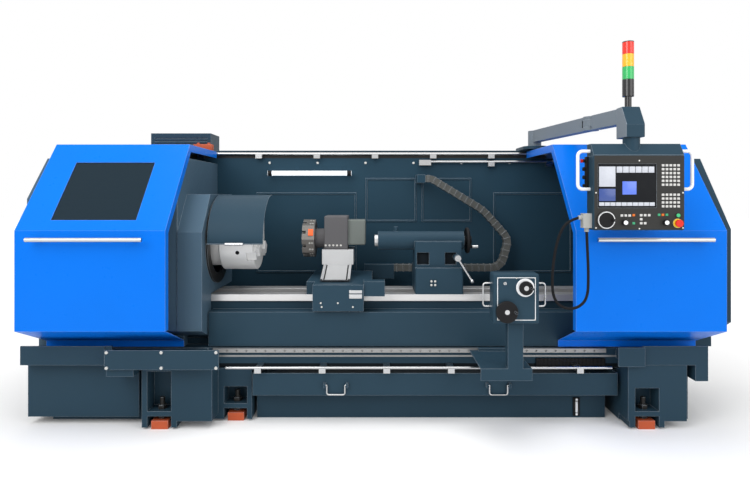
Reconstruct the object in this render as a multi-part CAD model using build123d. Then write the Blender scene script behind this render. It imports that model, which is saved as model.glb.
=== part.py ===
from build123d import *
import math
import os

# A flat-bed turning lathe. X runs from the headstock to the tailstock, Y to the rear and Z up from the floor.
# Lengths are in millimetres. Each group of sizes below belongs to one sub-part.

# Shared clearances and sheet
cut_over = 5.0           # how far a cutting shape runs past what it cuts
run_gap = 0.5            # between pieces that move past each other
seat_gap = 0.1           # between a piece and the round seat that holds it
sheet = 4.0              # folded cover sheet
bolt_r = 9.0             # visible cover bolts
bolt_head = 7.0

# Machine frame
half_length = 2119.0
spindle_y = -90.0
spindle_z = 1100.0
rear_wall_y = 435.0
rear_reach = 893.5       # back of the cabinet

# Pedestals
base_top_z = 450.0
ground_gap = 12.0
base_front_y = -360.0
base_wall = 40.0
shoulder_z = 325.0
shoulder_y = -258.0
left_base_setback = 119.0    # from the left end of the machine
left_base_x0 = left_base_setback - half_length
left_base_x1 = -765.0
right_base_setback = 176.0   # from the right end of the machine
right_base_width = 429.0
right_base_x1 = half_length - right_base_setback
right_base_x0 = right_base_x1 - right_base_width

# Foot columns and levelling jacks
foot_width = 209.0
foot_reach = 130.0
left_foot_x = -1291.0
middle_foot_x = -866.0
right_foot_inset = 114.0
foot_x = (left_foot_x, middle_foot_x, right_base_x0 + right_foot_inset)
pocket_width = 143.0
pocket_depth = 110.0
pocket_z0 = 109.0
pocket_tops = (349.0, 215.0, 248.0)
front_box_z0 = 50.0
left_front_x1 = -975.0
right_front_inset = 77.0
foot_web = 29.0
jack_r = 15.0
jack_top_z = 178.0
jack_nut_r = 28.0
jack_nut_height = 24.0
jack_block = 100.0
jack_block_height = 50.0

# Bed
bed_left_setback = 129.0
bed_right_setback = 229.0
bed_left_x = bed_left_setback - half_length
bed_right_x = half_length - bed_right_setback
way_top_z = 764.0
way_height = 42.0
way_lip = 16.0
front_way_y0 = -238.0
front_way_width = 92.0
rear_way_y0 = -6.0
rear_way_width = 105.0
bed_flange = 36.0
rib_count = 9
rib_width = 60.0
rib_drop = 70.0
ledge_front_y = -330.0
ledge_top_z = 670.0
ledge_wall = 12.0
ledge_bottom_z = 456.0

# Longitudinal ball screw behind the bed
screw_y = 168.0
screw_z = 690.0
screw_r = 25.0
screw_x0 = -1000.0
screw_right_setback = 669.0
screw_x1 = half_length - screw_right_setback
screw_block = 90.0
screw_block_width = 70.0

# Headstock casting and spindle
head_setback = 159.0
head_x0 = head_setback - half_length
head_x1 = -1212.0
head_y0 = -310.0
head_y1 = 130.0
head_top_z = 1370.0
head_wall = 45.0
head_web = 90.0
head_edge = 40.0
spindle_r = 90.0
spindle_bore_r = 52.5
spindle_setback = 29.0
spindle_x0 = spindle_setback - half_length
bearing_r = 130.0
bearing_width = 70.0
spindle_pulley_r = 140.0
motor_pulley_r = 80.0
pulley_setback = 41.0
pulley_x0 = pulley_setback - half_length
pulley_width = 80.0
belt_thickness = 8.0
belt_width = 60.0
belt_gap = 0.6
motor_y = 300.0
motor_z = 640.0
motor_r = 110.0
motor_length = 420.0
motor_shaft_r = 24.0
motor_plinth = 150.0

# Chuck
chuck_r = 190.0
chuck_plate_x = -1072.0
chuck_body_x = -998.0
chuck_face_x = -777.0
chuck_edge = 6.0
chuck_bore_r = 55.0
jaw_count = 3
jaw_width = 62.0
jaw_slot_depth = 46.0
jaw_step_share = 0.62
chuck_plate_share = 0.86
jaw_reach = 29.0         # how far the jaws stand out of the chuck face
jaw_inner_r = 70.0
jaw_outer_r = 178.0

# Covers over the headstock and the right end
cover_front_y = -430.0
cover_fold_z = 1380.0
cover_slope_y = -215.0
cover_top_z = 1640.0
cover_low_z = 575.0      # where the front turns in under the door
cover_tuck_y = -310.0
cover_tuck_z = 520.0
left_cover_x1 = -1206.0
right_cover_width = 479.0
right_cover_x0 = half_length - right_cover_width
bar_hole_gap = 17.5      # round the bar that enters the spindle through the end cover
bar_hole_r = spindle_bore_r + bar_hole_gap
right_cover_front_y = -507.0
right_cover_low_z = 647.0
right_cover_fold_z = 1200.0
right_cover_slope_y = -190.0
nose_x1 = -1052.0
nose_front_y = -437.0
nose_fold_z = 1177.0
nose_slope_y = -260.0
nose_top_z = 1408.0
nose_rear_y = 281.0
nose_hole_r = 215.0
nose_ring_r = 280.0
nose_ring = 12.0
bed_notch_gap = 8.0

# Chuck guard
guard_r = 300.0
guard_x0 = -1034.0
guard_x1 = -690.0
guard_sheet = 4.0
guard_hinge_angle = 5.0
guard_shell_angle = 88.0
guard_strap = 84.0
guard_pin_r = 9.0
guard_knuckle_r = 17.0
guard_grip_r = 9.0
guard_grip_length = 110.0
guard_lip = 22.0

# Doors
door_width = 860.0
door_front_y = -650.0
door_low_z = 625.0
door_fold_z = 1200.0
door_slope_y = -224.0
door_top_z = 1730.0
door_tuck_y = -337.0
door_tuck_z = 493.0
door_strip_z = 455.0
door_rear_y = 392.0
door_flange = 48.0
left_door_setback = 64.0
right_door_setback = 114.0
left_door_x0 = left_door_setback - half_length
right_door_x0 = half_length - right_door_setback - door_width
window_margin_x0 = 180.0
window_width = 493.0
window_from_fold = 75.0
window_height = 449.0
window_lip = 14.0
glass = 6.0
handle_length = 653.0
handle_r = 12.5
handle_stand = 36.0
handle_z = 1151.0
left_handle_inset = 92.0
right_handle_inset = 106.0
handle_post_r = 9.0
handle_post_inset = 60.0

# Door rods and rear structure
beam_z0 = 1554.0
beam_z1 = 1743.0
beam_depth = 100.0
beam_sheet = 8.0
beam_bolt_pitch = 365.5
beam_bolt_x0 = -803.0
beam_bolt_count = 6
rear_half_length = 2100.0
bead_width = 12.0
bead_height = 6.0
rear_panel_shares = (
    (0.285, 0.466, 0.33, 0.88),
    (0.483, 0.575, 0.68, 0.98),
    (0.585, 0.675, 0.68, 0.98),
    (0.715, 0.857, 0.33, 0.88),
)
rod_r = 10.0
rod_z = 1716.0
rod_y = 410.0
rod_half_length = 2040.0
second_rod_drop = 60.0
second_rod_x0 = 424.0
second_rod_x1 = 1560.0
clamp_pitch = 440.0
clamp_width = 48.0
clamp_height = 35.0
stop_width = 90.0
stop_height = 54.0
shoe_length = 90.0
shoe_inset = 110.0
shoe_width = 30.0
light_x0 = -808.0
light_x1 = -178.0
light_z = 1568.0
light_r = 17.5
light_cap_r = 20.0
light_cap = 34.0
light_bracket = 30.0

# Front sills, beam, cart rail and front rod
sill_z0 = 387.0
sill_z1 = 500.0
sill_floor_z = 440.0
sill_overhang = 130.0
sill_rear_y = -385.0
sill_front_y = -586.0
sill_left_front_y = -497.0
sill_left_x1 = -1616.0
sill_plate_x0 = -1573.0
sill_plate_x1 = -909.0
sill_right_front_y = -528.0
sill_right_setback = 678.0
sill_right_width = 157.0
sill_end_setback = 130.0
sill_right_x0 = half_length - sill_right_setback
sill_right_x1 = sill_right_x0 + sill_right_width
sill_end_x1 = half_length - sill_end_setback
sill_wall = 12.0
sill_bolt_columns = 3
sill_bolt_shares = (0.1, 0.9)
sill_bolt_inset = 14.0
sill_box_length = 158.0
sill_box_z0 = 340.0
sill_box_y0 = -562.0
sill_box_y1 = -470.0
end_box_length = 76.0
end_box_z0 = 292.0
skirt_x1 = -1440.0
skirt_y = -420.0
skirt_z0 = 50.0
front_beam_y = -338.0
front_beam_top_z = 449.0
rail_height = 25.0
rail_depth = 22.0
rail_start_gap = -100.0    # the rail runs on behind the left plate
rail_end_gap = 5.0
rail_x0 = sill_plate_x1 + rail_start_gap
rail_x1 = sill_right_x0 - rail_end_gap
rail_hole_pitch = 60.0
rail_hole_r = 7.0
rail_hole_depth = 9.0
front_rod_y = -443.0
front_rod_z = 355.0
front_rod_r = 8.0
front_rod_gap = 4.0
front_rod_x0 = sill_plate_x1 + front_rod_gap
front_rod_x1 = sill_right_x0 - front_rod_gap
front_clamp_count = 6
front_clamp = 40.0

# Saddle, cross slide and turret
saddle_x0 = -440.0
saddle_x1 = -20.0
saddle_top_z = 846.0
saddle_rear_y = 300.0
apron_x0 = -387.0
apron_x1 = -71.0
apron_front_y = -370.0
apron_low_z = 682.0
feed_motor_x1 = 61.0
feed_motor_y0 = -352.0
feed_motor_size = 92.0
feed_motor_z0 = 772.0
nut_x0 = -300.0
nut_length = 120.0
nut_half = 46.0
chain_bracket_x1 = 140.0
chain_bracket_height = 58.0
slide_x0 = -362.0
slide_x1 = -148.0
slide_front_y = -12.0
slide_rear_y = 225.0
slide_top_z = 1030.0
slide_foot_z = 928.0
slide_foot_inset = 30.0
way_cover_x0 = -350.0
way_cover_x1 = -160.0
way_cover_front_y = -267.0
way_cover_low_z = 858.0
way_cover_high_z = 925.0
way_cover_rib = 12.0
way_cover_rib_height = 5.0
turret_y = 110.0
turret_r = 131.0
turret_x0 = -501.0
turret_x1 = -416.0
turret_sides = 8
turret_neck_r = 68.0
turret_shaft_r = 30.0
turret_shaft_depth = 50.0
turret_cap_r = 46.0
turret_cap = 10.0
tool_slot = 26.0
tool_slot_depth = 30.0
turret_box_x0 = -349.0
turret_box_x1 = -187.0
turret_box_y0 = 2.0
turret_box_y1 = 225.0
turret_box_top_z = 1259.0
turret_motor_x1 = -66.0
turret_motor_inset = 28.0
turret_edge = 10.0

# Tailstock
tail_base_x0 = 260.0
tail_base_x1 = 569.0
tail_base_top_z = 933.0
tail_column_y0 = -200.0
tail_column_y1 = 20.0
tail_edge = 14.0
barrel_x0 = 20.0
barrel_x1 = 590.0
barrel_r = 62.0
barrel_end = 14.0
tail_recess_shares = ((0.04, 0.30), (0.63, 0.87))
tail_recess_depth = 26.0
tail_recess_z0 = 950.0
tail_recess_z1 = 1030.0
tail_oiler_r = 14.0
tail_oiler_height = 30.0
quill_r = 38.0
quill_x0 = -2.0
quill_length = 440.0
quill_bore_r = 22.0
quill_bore_depth = 120.0
wheel_r = 87.0
wheel_rim_r = 11.0
wheel_hub_r = 30.0
wheel_hub = 52.0
wheel_web = 12.0
wheel_shaft_r = 14.0
wheel_shaft_depth = 40.0
crank_r = 10.0
crank_angle = 35.0
crank_length = 62.0
lever_x = 530.0
lever_z = 998.0
lever_boss_r = 22.0
lever_boss = 46.0
lever_hub_r = 20.0
lever_hub = 20.0
lever_r = 7.0
lever_length = 172.0
lever_angle = -58.0
lever_ball_r = 13.0
lever_pin_r = 8.0

# Hand-wheel cart
cart_x0 = 587.0
cart_x1 = 872.0
cart_front_y = -735.0
cart_top_z = 440.0
cart_plate = 7.0
cart_skirt_z = 373.0
shoe_block_length = 180.0
shoe_block_depth = 24.0
shoe_block_lip = 6.0
bush_length = 60.0
bush_width = 40.0
post_x0 = 737.0
post_x1 = 822.0
post_depth = 60.0
station_x0 = 647.0
station_x1 = 899.0
station_z0 = 698.0
station_z1 = 973.0
station_front_y = -780.0
station_rear_y = -675.0
station_edge = 12.0
station_handle_z0 = 786.0
station_handle_z1 = 914.0
station_handle_reach = 46.0
station_handle_r = 5.0
large_wheel_r = 60.0
large_wheel_x = 717.0
large_wheel_z = 767.0
small_wheel_r = 38.0
small_wheel_x = 821.0
small_wheel_z = 897.0
feed_wheel_r = (large_wheel_r, small_wheel_r)
feed_wheel_x = (large_wheel_x, small_wheel_x)
feed_wheel_z = (large_wheel_z, small_wheel_z)
feed_wheel_depth = 16.0
feed_hub_share = 0.36
feed_hub = 12.0
feed_shaft_r = 8.0
feed_shaft_depth = 30.0
feed_knob_r = 7.0
feed_knob_length = 26.0
feed_knob_place_share = 0.74

# Swing arm
arm_x = 1190.0
arm_y = 335.0
arm_z0 = 1795.0
arm_z1 = 1880.0
arm_width = 62.0
arm_bracket_width = 180.0
arm_bracket = 22.0
arm_pin_r = 22.0
arm_knuckle_r = 48.0
elbow_x = 1318.0
elbow_y = -423.0
elbow_r = 46.0
elbow_pin_r = 13.0
elbow_lug = 20.0
swivel_x = 1391.0
swivel_y = -800.0
arm_head_width = 98.0
arm_head_front = 55.0
arm_head_rear = 76.0
arm_head_fold_z = 1780.0
arm_head_setback = 62.0
arm_head_z0 = 1713.0
arm_head_z1 = 1884.0
arm_head_edge = 4.0
swivel_pin_r = 26.0
swivel_pin_height = 60.0
swivel_neck_r = 44.0

# Signal beacon
beacon_setback = 38.0
beacon_top_z = 2245.0
beacon_r = 30.5
beacon_knuckle_r = 18.0
beacon_knuckle = 60.0
beacon_base = 92.0
beacon_groove = 3.0
beacon_groove_depth = 2.0

# Control panel
panel_x0 = 1163.0
panel_x1 = 1650.0
panel_front_y = -860.0
panel_rear_y = -760.0
panel_z0 = 1215.0
panel_z1 = 1618.0
panel_edge = 10.0
hood_inset = 2.0
hood_lip = 4.0
hood_top_z = 1680.0
hood_front_y = -815.0
screen_x0 = 1187.0
screen_x1 = 1498.0
screen_z0 = 1336.0
screen_z1 = 1569.0
screen_depth = 7.0
screen_sink = 2.0
panel_handle_z0 = 1435.0
panel_handle_z1 = 1640.0
panel_handle_reach = 66.0
panel_handle_r = 9.0
jog_x = 1226.0
jog_z = 1270.0
jog_r = 46.0
jog_depth = 16.0
speed_knob_x = 1326.0
feed_knob_x = 1544.0
knob_x = (speed_knob_x, feed_knob_x)
knob_z = 1257.0
knob_r = 15.0
knob_depth = 20.0
control_shaft_r = 5.0
control_shaft_depth = 18.0
control_gap = 1.5
stop_x = 1610.0
stop_z = 1253.0
stop_r = 20.0
stop_ring_r = 24.0
stop_ring = 5.0
stop_cap = 12.0
stop_travel = 6.0
start_z = 1295.0
start_r = 10.0
start_cap = 5.0
start_travel = 4.0
gland_box_x0 = 1118.0
gland_box_depth = 44.0
gland_box_z0 = 1226.0
gland_box_z1 = 1304.0
gland_r = 12.0
gland = 20.0

# Conduit loop that hangs from the panel: hand-chosen points (x, z) in the plane y = conduit_y
conduit_y = -815.0
conduit_d = 15.0
conduit_points = (
    (1143.0, 1210.0), (1147.0, 1115.0), (1153.0, 985.0), (1150.0, 846.0), (1094.0, 790.0), (1016.0, 790.0),
    (960.0, 846.0), (957.0, 975.0), (972.0, 1100.0), (1000.0, 1205.0), (1045.0, 1265.0), (1103.0, 1281.0),
)
conduit_radius_share = 0.45

# Chip tray, bail handles and coolant tank
tray_start_gap = 15.0    # from the left pedestal
tray_end_gap = 28.0      # from the right pedestal
tray_x0 = left_base_x1 + tray_start_gap
tray_x1 = right_base_x0 - tray_end_gap
tray_front_y = -410.0
tray_rear_y = 340.0
tray_top_z = 312.0
tray_wall = 5.0
tank_start_gap = 20.0
tank_end_gap = 63.0
tank_x0 = left_base_x1 + tank_start_gap
tank_x1 = right_base_x0 - tank_end_gap
tank_front_y = -305.0
tank_rear_y = 500.0
tank_top_z = 176.0
tank_wall = 6.0
left_bail_x = -239.0
right_bail_x = 754.0
bail_x = (left_bail_x, right_bail_x)
bail_z = 243.0
bail_half = 55.0
bail_drop = 58.0
bail_r = 5.0
bail_bend = 14.0
ear = 13.0
ear_gap = 2.0
ear_half_height = 13.0
ear_reach = 26.0

# Electrical cabinet with the ventilated box on top
cabinet_x0 = -1900.0
cabinet_x1 = -800.0
cabinet_z0 = 130.0
cabinet_top_z = 1640.0
cabinet_wall = 10.0
vent_box_x0 = -1757.0
vent_box_x1 = -1288.0
vent_box_depth = 240.0
vent_box_setback = 20.0
vent_box_top_z = 1888.0
vent_slot = 9.0
vent_slot_depth = 6.0
vent_rows = 9
vent_margin = 28.0

# Cable chain behind the tailstock: corners (x, z) in the plane y = chain_y
chain_y = 318.0
chain_width = 64.0
chain_height = 54.0
chain_x0 = 371.0
chain_z0 = 1525.0
chain_run = 45.0
chain_corner_x = 800.0
chain_corner_z = 1292.0
chain_far_x = 990.0
chain_far_z = 1078.0
chain_turn_x = 930.0
chain_low_z = 866.0
chain_leave_r = 80.0
chain_fall_r = 320.0
chain_turn_r = 105.0
chain_return_r = 95.0
chain_bends = (chain_leave_r, chain_fall_r, chain_turn_r, chain_return_r)
chain_link = 46.0
chain_rib = 9.0
chain_rib_height = 3.0
chain_anchor_width = 60.0
chain_anchor_height = 60.0

# Places that follow from the sizes above
front_way_y1 = front_way_y0 + front_way_width
rear_way_y1 = rear_way_y0 + rear_way_width
beam_rear_y = rear_wall_y + beam_depth
base_rear_y = beam_rear_y
arm_bracket_z1 = beam_z1 + arm_bracket


def block(x0, x1, y0, y1, z0, z1):
    """A box given by its limits."""
    centre = ((x0 + x1) / 2, (y0 + y1) / 2, (z0 + z1) / 2)
    return Pos(*centre) * Box(x1 - x0, y1 - y0, z1 - z0)


def soft_block(x0, x1, y0, y1, z0, z1, edge):
    """A box with all its edges rounded."""
    shape = block(x0, x1, y0, y1, z0, z1)
    return fillet(shape.edges(), edge)


def rod_along_x(x0, x1, y, z, radius):
    return Pos((x0 + x1) / 2, y, z) * Rot(0, 90, 0) * Cylinder(radius, x1 - x0)


def rod_along_y(y0, y1, x, z, radius):
    return Pos(x, (y0 + y1) / 2, z) * Rot(90, 0, 0) * Cylinder(radius, y1 - y0)


def rod_along_z(z0, z1, x, y, radius):
    return Pos(x, y, (z0 + z1) / 2) * Cylinder(radius, z1 - z0)


def bar(start, end, radius):
    """A round bar from one point to another."""
    axis = Vector(*end) - Vector(*start)
    plane = Plane(origin=start, z_dir=axis)
    return extrude(plane * Circle(radius), amount=axis.length)


def prism_along_x(points, x0, x1):
    """A closed outline of (y, z) points drawn out along X."""
    outline = make_face(Polyline(*[(x0, y, z) for y, z in points], close=True))
    return extrude(outline, amount=x1 - x0, dir=(1, 0, 0))


def inset_line(points, depth, closed=False):
    """The fold line of a sheet's inner face: every point of an outline moved to its right by depth."""
    moved = []
    count = len(points)
    for i in range(count):
        here = Vector(*points[i])
        first = here - Vector(*points[i - 1])
        second = Vector(*points[(i + 1) % count]) - here
        if not closed and i == 0:
            first = second
        if not closed and i == count - 1:
            second = first
        normal_a = Vector(first.Y, -first.X).normalized()
        normal_b = Vector(second.Y, -second.X).normalized()
        middle = (normal_a + normal_b).normalized()
        step = middle * (depth / middle.dot(normal_a))
        moved.append((here.X + step.X, here.Y + step.Y))
    return moved


def folded_sheet(points, depth, x0, x1):
    """A sheet bent along an open outline of (y, z) points and drawn out along X."""
    return prism_along_x(list(points) + inset_line(points, depth)[::-1], x0, x1)


def tube_frame(points, radius, bend):
    """A bent round bar through the points."""
    path = FilletPolyline(*points, radius=bend)
    start = Plane(origin=path @ 0, z_dir=path % 0)
    return sweep(start * Circle(radius), path=path)


def group(shapes):
    """Separate solids that share one node."""
    return Compound(children=[solid for shape in shapes for solid in shape.solids()])


# Pedestals and levelling jacks

def jack_places():
    """Each jack's x, its face plane y, the side that its pocket opens to and the pocket's top."""
    front_faces = (base_front_y - foot_reach, base_front_y, base_front_y - foot_reach)
    places = []
    for x, face_y, top_z in zip(foot_x, front_faces, pocket_tops):
        places.append((x, face_y, 1, top_z))
        places.append((x, base_rear_y, -1, top_z))
    return places


def jack_centre_y(face_y, inward):
    return face_y + inward * pocket_depth / 2


def pedestal(x0, x1, front_x0, front_x1):
    """A hollow base with a flush front box between front_x0 and front_x1, on foot columns."""
    outline = (
        (base_front_y, ground_gap), (base_front_y, shoulder_z), (shoulder_y, shoulder_z),
        (shoulder_y, base_top_z), (base_rear_y, base_top_z), (base_rear_y, ground_gap),
    )
    body = prism_along_x(outline, x0, x1)
    body -= block(x0 + base_wall, x1 - base_wall, shoulder_y + base_wall, base_rear_y - base_wall,
                  ground_gap - cut_over, base_top_z - base_wall)
    body += block(front_x0, front_x1, base_front_y - foot_reach, base_front_y, front_box_z0, sill_z0 - run_gap)
    for x, face_y, inward, top_z in jack_places():
        if x0 < x < x1 and face_y != base_front_y:
            back_y = face_y + inward * foot_reach
            y0, y1 = min(face_y, back_y), max(face_y, back_y)
            body += block(x - foot_width / 2, x + foot_width / 2, y0, y1, ground_gap, sill_z0 - run_gap)
    for x, face_y, inward, top_z in jack_places():
        if x0 < x < x1:
            y_in = face_y + inward * pocket_depth
            y_out = face_y - inward * cut_over
            y0, y1 = min(y_in, y_out), max(y_in, y_out)
            half = pocket_width / 2
            body -= block(x - half, x + half, y0, y1, pocket_z0, top_z)
            body -= block(x - half, x + half, y0, y1, ground_gap - cut_over, pocket_z0 - foot_web)
            body -= rod_along_z(ground_gap, top_z, x, jack_centre_y(face_y, inward), jack_r + seat_gap)
    return body


def left_pedestal():
    return pedestal(left_base_x0, left_base_x1, left_foot_x - foot_width / 2, left_front_x1)


def right_pedestal():
    return pedestal(right_base_x0, right_base_x1, right_base_x0, right_base_x1 - right_front_inset)


def levelling_jacks():
    shapes = []
    for x, face_y, inward, _ in jack_places():
        y = jack_centre_y(face_y, inward)
        half = jack_block / 2
        nut = RegularPolygon(jack_nut_r, 6)
        screw = rod_along_z(jack_block_height, jack_top_z, x, y, jack_r)
        screw += extrude(Pos(x, y, pocket_z0) * nut, amount=jack_nut_height)
        screw += extrude(Pos(x, y, pocket_z0 - foot_web) * nut, amount=-jack_nut_height)
        shapes.append(screw)
        shapes.append(block(x - half, x + half, y - half, y + half, 0, jack_block_height))
    return group(shapes)


# Bed

def bed():
    way_low_z = way_top_z - way_height
    shape = block(bed_left_x, bed_right_x, front_way_y0, front_way_y1, way_low_z, way_top_z)
    shape += block(bed_left_x, bed_right_x, rear_way_y0, rear_way_y1, way_low_z, way_top_z)
    for y0, y1 in ((front_way_y0, front_way_y1), (rear_way_y0, rear_way_y1)):
        shape += block(bed_left_x, bed_right_x, y0 + way_lip, y1 - way_lip, base_top_z, way_low_z)
        shape += block(bed_left_x, bed_right_x, y0, y1, base_top_z, base_top_z + bed_flange)
    span = bed_right_x - bed_left_x - rib_width
    for i in range(rib_count):
        x = bed_left_x + span * i / (rib_count - 1)
        shape += block(x, x + rib_width, front_way_y1 - way_lip, rear_way_y0 + way_lip, base_top_z,
                       way_low_z - rib_drop)
    ledge_x0 = nose_x1 + bed_notch_gap
    ledge_y1 = front_way_y0 + way_lip
    shape += block(ledge_x0, right_cover_x0 - bed_notch_gap, ledge_front_y, ledge_y1, ledge_top_z - ledge_wall,
                   ledge_top_z)
    shape += block(ledge_x0, right_cover_x0 - bed_notch_gap, ledge_front_y, ledge_front_y + ledge_wall,
                   ledge_bottom_z, ledge_top_z)
    for x in (screw_x0, screw_x1 - screw_block_width):
        half = screw_block / 2
        shape += block(x, x + screw_block_width, rear_way_y1 - way_lip, screw_y + half, screw_z - half,
                       screw_z + half)
        shape -= rod_along_x(x - cut_over, x + screw_block_width + cut_over, screw_y, screw_z,
                             screw_r + run_gap)
    return shape


def z_screw():
    return rod_along_x(screw_x0 - screw_block_width, screw_x1 + screw_block_width, screw_y, screw_z, screw_r)


# Headstock drive

def headstock():
    shape = block(head_x0, head_x1, head_y0, head_y1, way_top_z, head_top_z)
    long_edges = [e for e in shape.edges().filter_by(Axis.X) if e.center().Z > spindle_z]
    shape = fillet(long_edges, head_edge)
    shape -= block(head_x0 + head_web, head_x1 - head_web, head_y0 + head_wall, head_y1 - head_wall,
                   way_top_z - cut_over, head_top_z - head_wall)
    shape -= rod_along_x(head_x0 - cut_over, head_x1 + cut_over, spindle_y, spindle_z, bearing_r + seat_gap)
    return shape


def spindle_bearings():
    shapes = []
    for x in (head_x0, head_x1 - bearing_width):
        ring = rod_along_x(x, x + bearing_width, spindle_y, spindle_z, bearing_r)
        ring -= rod_along_x(x - cut_over, x + bearing_width + cut_over, spindle_y, spindle_z,
                            spindle_r + run_gap)
        shapes.append(ring)
    return group(shapes)


def spindle():
    shape = rod_along_x(spindle_x0, chuck_plate_x, spindle_y, spindle_z, spindle_r)
    shape += rod_along_x(pulley_x0, pulley_x0 + pulley_width, spindle_y, spindle_z, spindle_pulley_r)
    return shape - rod_along_x(spindle_x0 - cut_over, chuck_plate_x + cut_over, spindle_y, spindle_z,
                               spindle_bore_r)


def motor_face_x():
    return pulley_x0 + pulley_width + run_gap


def main_motor():
    x0 = motor_face_x()
    x1 = x0 + motor_length
    shape = rod_along_x(x0, x1, motor_y, motor_z, motor_r)
    shape += block(x0, x1, motor_y - motor_plinth / 2, motor_y + motor_plinth / 2, base_top_z, motor_z)
    return shape - rod_along_x(x0 - cut_over, x0 + motor_length / 2, motor_y, motor_z, motor_shaft_r + run_gap)


def motor_pulley():
    shape = rod_along_x(pulley_x0, pulley_x0 + pulley_width, motor_y, motor_z, motor_pulley_r)
    return shape + rod_along_x(pulley_x0, pulley_x0 + pulley_width + motor_length / 2, motor_y, motor_z,
                               motor_shaft_r)


def belt_loop(rise):
    """The area inside a belt that stands off both pulleys by rise, in the plane of the belt's left face."""
    x = pulley_x0 + (pulley_width - belt_width) / 2
    dy, dz = motor_y - spindle_y, motor_z - spindle_z
    distance = math.hypot(dy, dz)
    lean = math.atan2(dz, dy)
    spread = math.acos((spindle_pulley_r - motor_pulley_r) / distance)
    corners = []
    for side in (1, -1):
        angle = lean + side * spread
        pair = []
        for y, z, radius in ((spindle_y, spindle_z, spindle_pulley_r), (motor_y, motor_z, motor_pulley_r)):
            reach = radius + rise
            pair.append((y + reach * math.cos(angle), z + reach * math.sin(angle)))
        corners += pair if side > 0 else pair[::-1]
    loop = prism_along_x(corners, x, x + belt_width)
    loop += rod_along_x(x, x + belt_width, spindle_y, spindle_z, spindle_pulley_r + rise)
    return loop + rod_along_x(x, x + belt_width, motor_y, motor_z, motor_pulley_r + rise)


def drive_belt():
    return belt_loop(belt_gap + belt_thickness) - belt_loop(belt_gap)


# Covers

def left_cover_line():
    return (
        (cover_tuck_y, base_top_z), (cover_tuck_y, cover_tuck_z), (cover_front_y, cover_low_z),
        (cover_front_y, cover_fold_z), (cover_slope_y, cover_top_z), (rear_wall_y, cover_top_z),
    )


def headstock_cover():
    line = left_cover_line()
    shape = folded_sheet(line, sheet, -half_length, left_cover_x1)
    shape += prism_along_x(line + ((rear_wall_y, base_top_z),), -half_length, sheet - half_length)
    return shape - rod_along_x(-half_length - cut_over, sheet - half_length + cut_over, spindle_y, spindle_z,
                               bar_hole_r)


def right_end_cover():
    line = (
        (cover_tuck_y, base_top_z), (cover_tuck_y, cover_tuck_z), (right_cover_front_y, right_cover_low_z),
        (right_cover_front_y, right_cover_fold_z), (right_cover_slope_y, cover_top_z),
        (rear_wall_y, cover_top_z),
    )
    shape = folded_sheet(line, sheet, right_cover_x0, half_length)
    return shape + prism_along_x(line + ((rear_wall_y, base_top_z),), half_length - sheet, half_length)


def guard_hinge():
    """Place of the chuck guard's hinge pin in (y, z)."""
    angle = math.radians(guard_hinge_angle)
    return spindle_y + guard_r * math.cos(angle), spindle_z + guard_r * math.sin(angle)


def headstock_guard():
    wall_x0 = left_cover_x1
    wall_x1 = left_cover_x1 + sheet
    shape = prism_along_x(left_cover_line() + ((rear_wall_y, base_top_z),), wall_x0, wall_x1)
    shape -= block(wall_x0 - cut_over, wall_x1 + cut_over, front_way_y0 - bed_notch_gap,
                   rear_way_y1 + bed_notch_gap, base_top_z - cut_over, way_top_z + bed_notch_gap)
    low_z = way_top_z + bed_notch_gap
    bed_side_y = front_way_y0 - bed_notch_gap
    outline = (
        (nose_front_y, cover_low_z), (nose_front_y, nose_fold_z), (nose_slope_y, nose_top_z),
        (nose_rear_y, nose_top_z), (nose_rear_y, low_z), (bed_side_y, low_z), (bed_side_y, cover_tuck_z),
        (cover_tuck_y, cover_tuck_z),
    )
    shape += prism_along_x(outline, wall_x1, nose_x1)
    shape -= prism_along_x(inset_line(outline, sheet, closed=True), wall_x1, nose_x1 - sheet)
    shape += rod_along_x(nose_x1, nose_x1 + nose_ring, spindle_y, spindle_z, nose_ring_r)
    shape -= rod_along_x(wall_x1, nose_x1 + nose_ring + cut_over, spindle_y, spindle_z, nose_hole_r)
    shape -= rod_along_x(wall_x0 - cut_over, nose_x1, spindle_y, spindle_z, spindle_r + bed_notch_gap)
    y, z = guard_hinge()
    return shape + rod_along_x(nose_x1 - sheet, guard_x0 + guard_strap + guard_lip, y, z, guard_pin_r)


def guard_arc(angle0, angle1, x1):
    """A strip of the guard's round sheet from one angle about the spindle to another."""
    strip = rod_along_x(guard_x0, x1, spindle_y, spindle_z, guard_r + guard_sheet)
    strip -= rod_along_x(guard_x0 - cut_over, x1 + cut_over, spindle_y, spindle_z, guard_r)
    reach = guard_r * 2
    wedge = [(spindle_y, spindle_z)]
    for share in (1.0, 0.5, 0.0):
        angle = math.radians(angle0 + (angle1 - angle0) * share)
        wedge.append((spindle_y + reach * math.cos(angle), spindle_z + reach * math.sin(angle)))
    return strip & prism_along_x(wedge, guard_x0, x1)


def chuck_guard():
    strap_x1 = guard_x0 + guard_strap
    shape = guard_arc(guard_shell_angle, 180, guard_x1)
    shape += guard_arc(guard_hinge_angle, guard_shell_angle, strap_x1)
    hinge_y, hinge_z = guard_hinge()
    shape += rod_along_x(guard_x0, strap_x1, hinge_y, hinge_z, guard_knuckle_r)
    shape -= rod_along_x(guard_x0 - cut_over, guard_x1 + cut_over, hinge_y, hinge_z, guard_pin_r + run_gap)
    edge_y = spindle_y - guard_r - guard_sheet
    shape += block(guard_x0, guard_x1, edge_y - guard_lip, edge_y + guard_sheet, spindle_z,
                   spindle_z + guard_sheet)
    middle_x = (guard_x0 + guard_x1) / 2
    return shape + rod_along_x(middle_x - guard_grip_length / 2, middle_x + guard_grip_length / 2,
                               edge_y - guard_lip, spindle_z + guard_sheet / 2, guard_grip_r)


# Chuck

def jaw_place(index):
    """Turns a shape about the spindle axis to one jaw's station."""
    angle = 90 + 360 * index / jaw_count
    return Pos(0, spindle_y, spindle_z) * Rot(angle, 0, 0)


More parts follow.
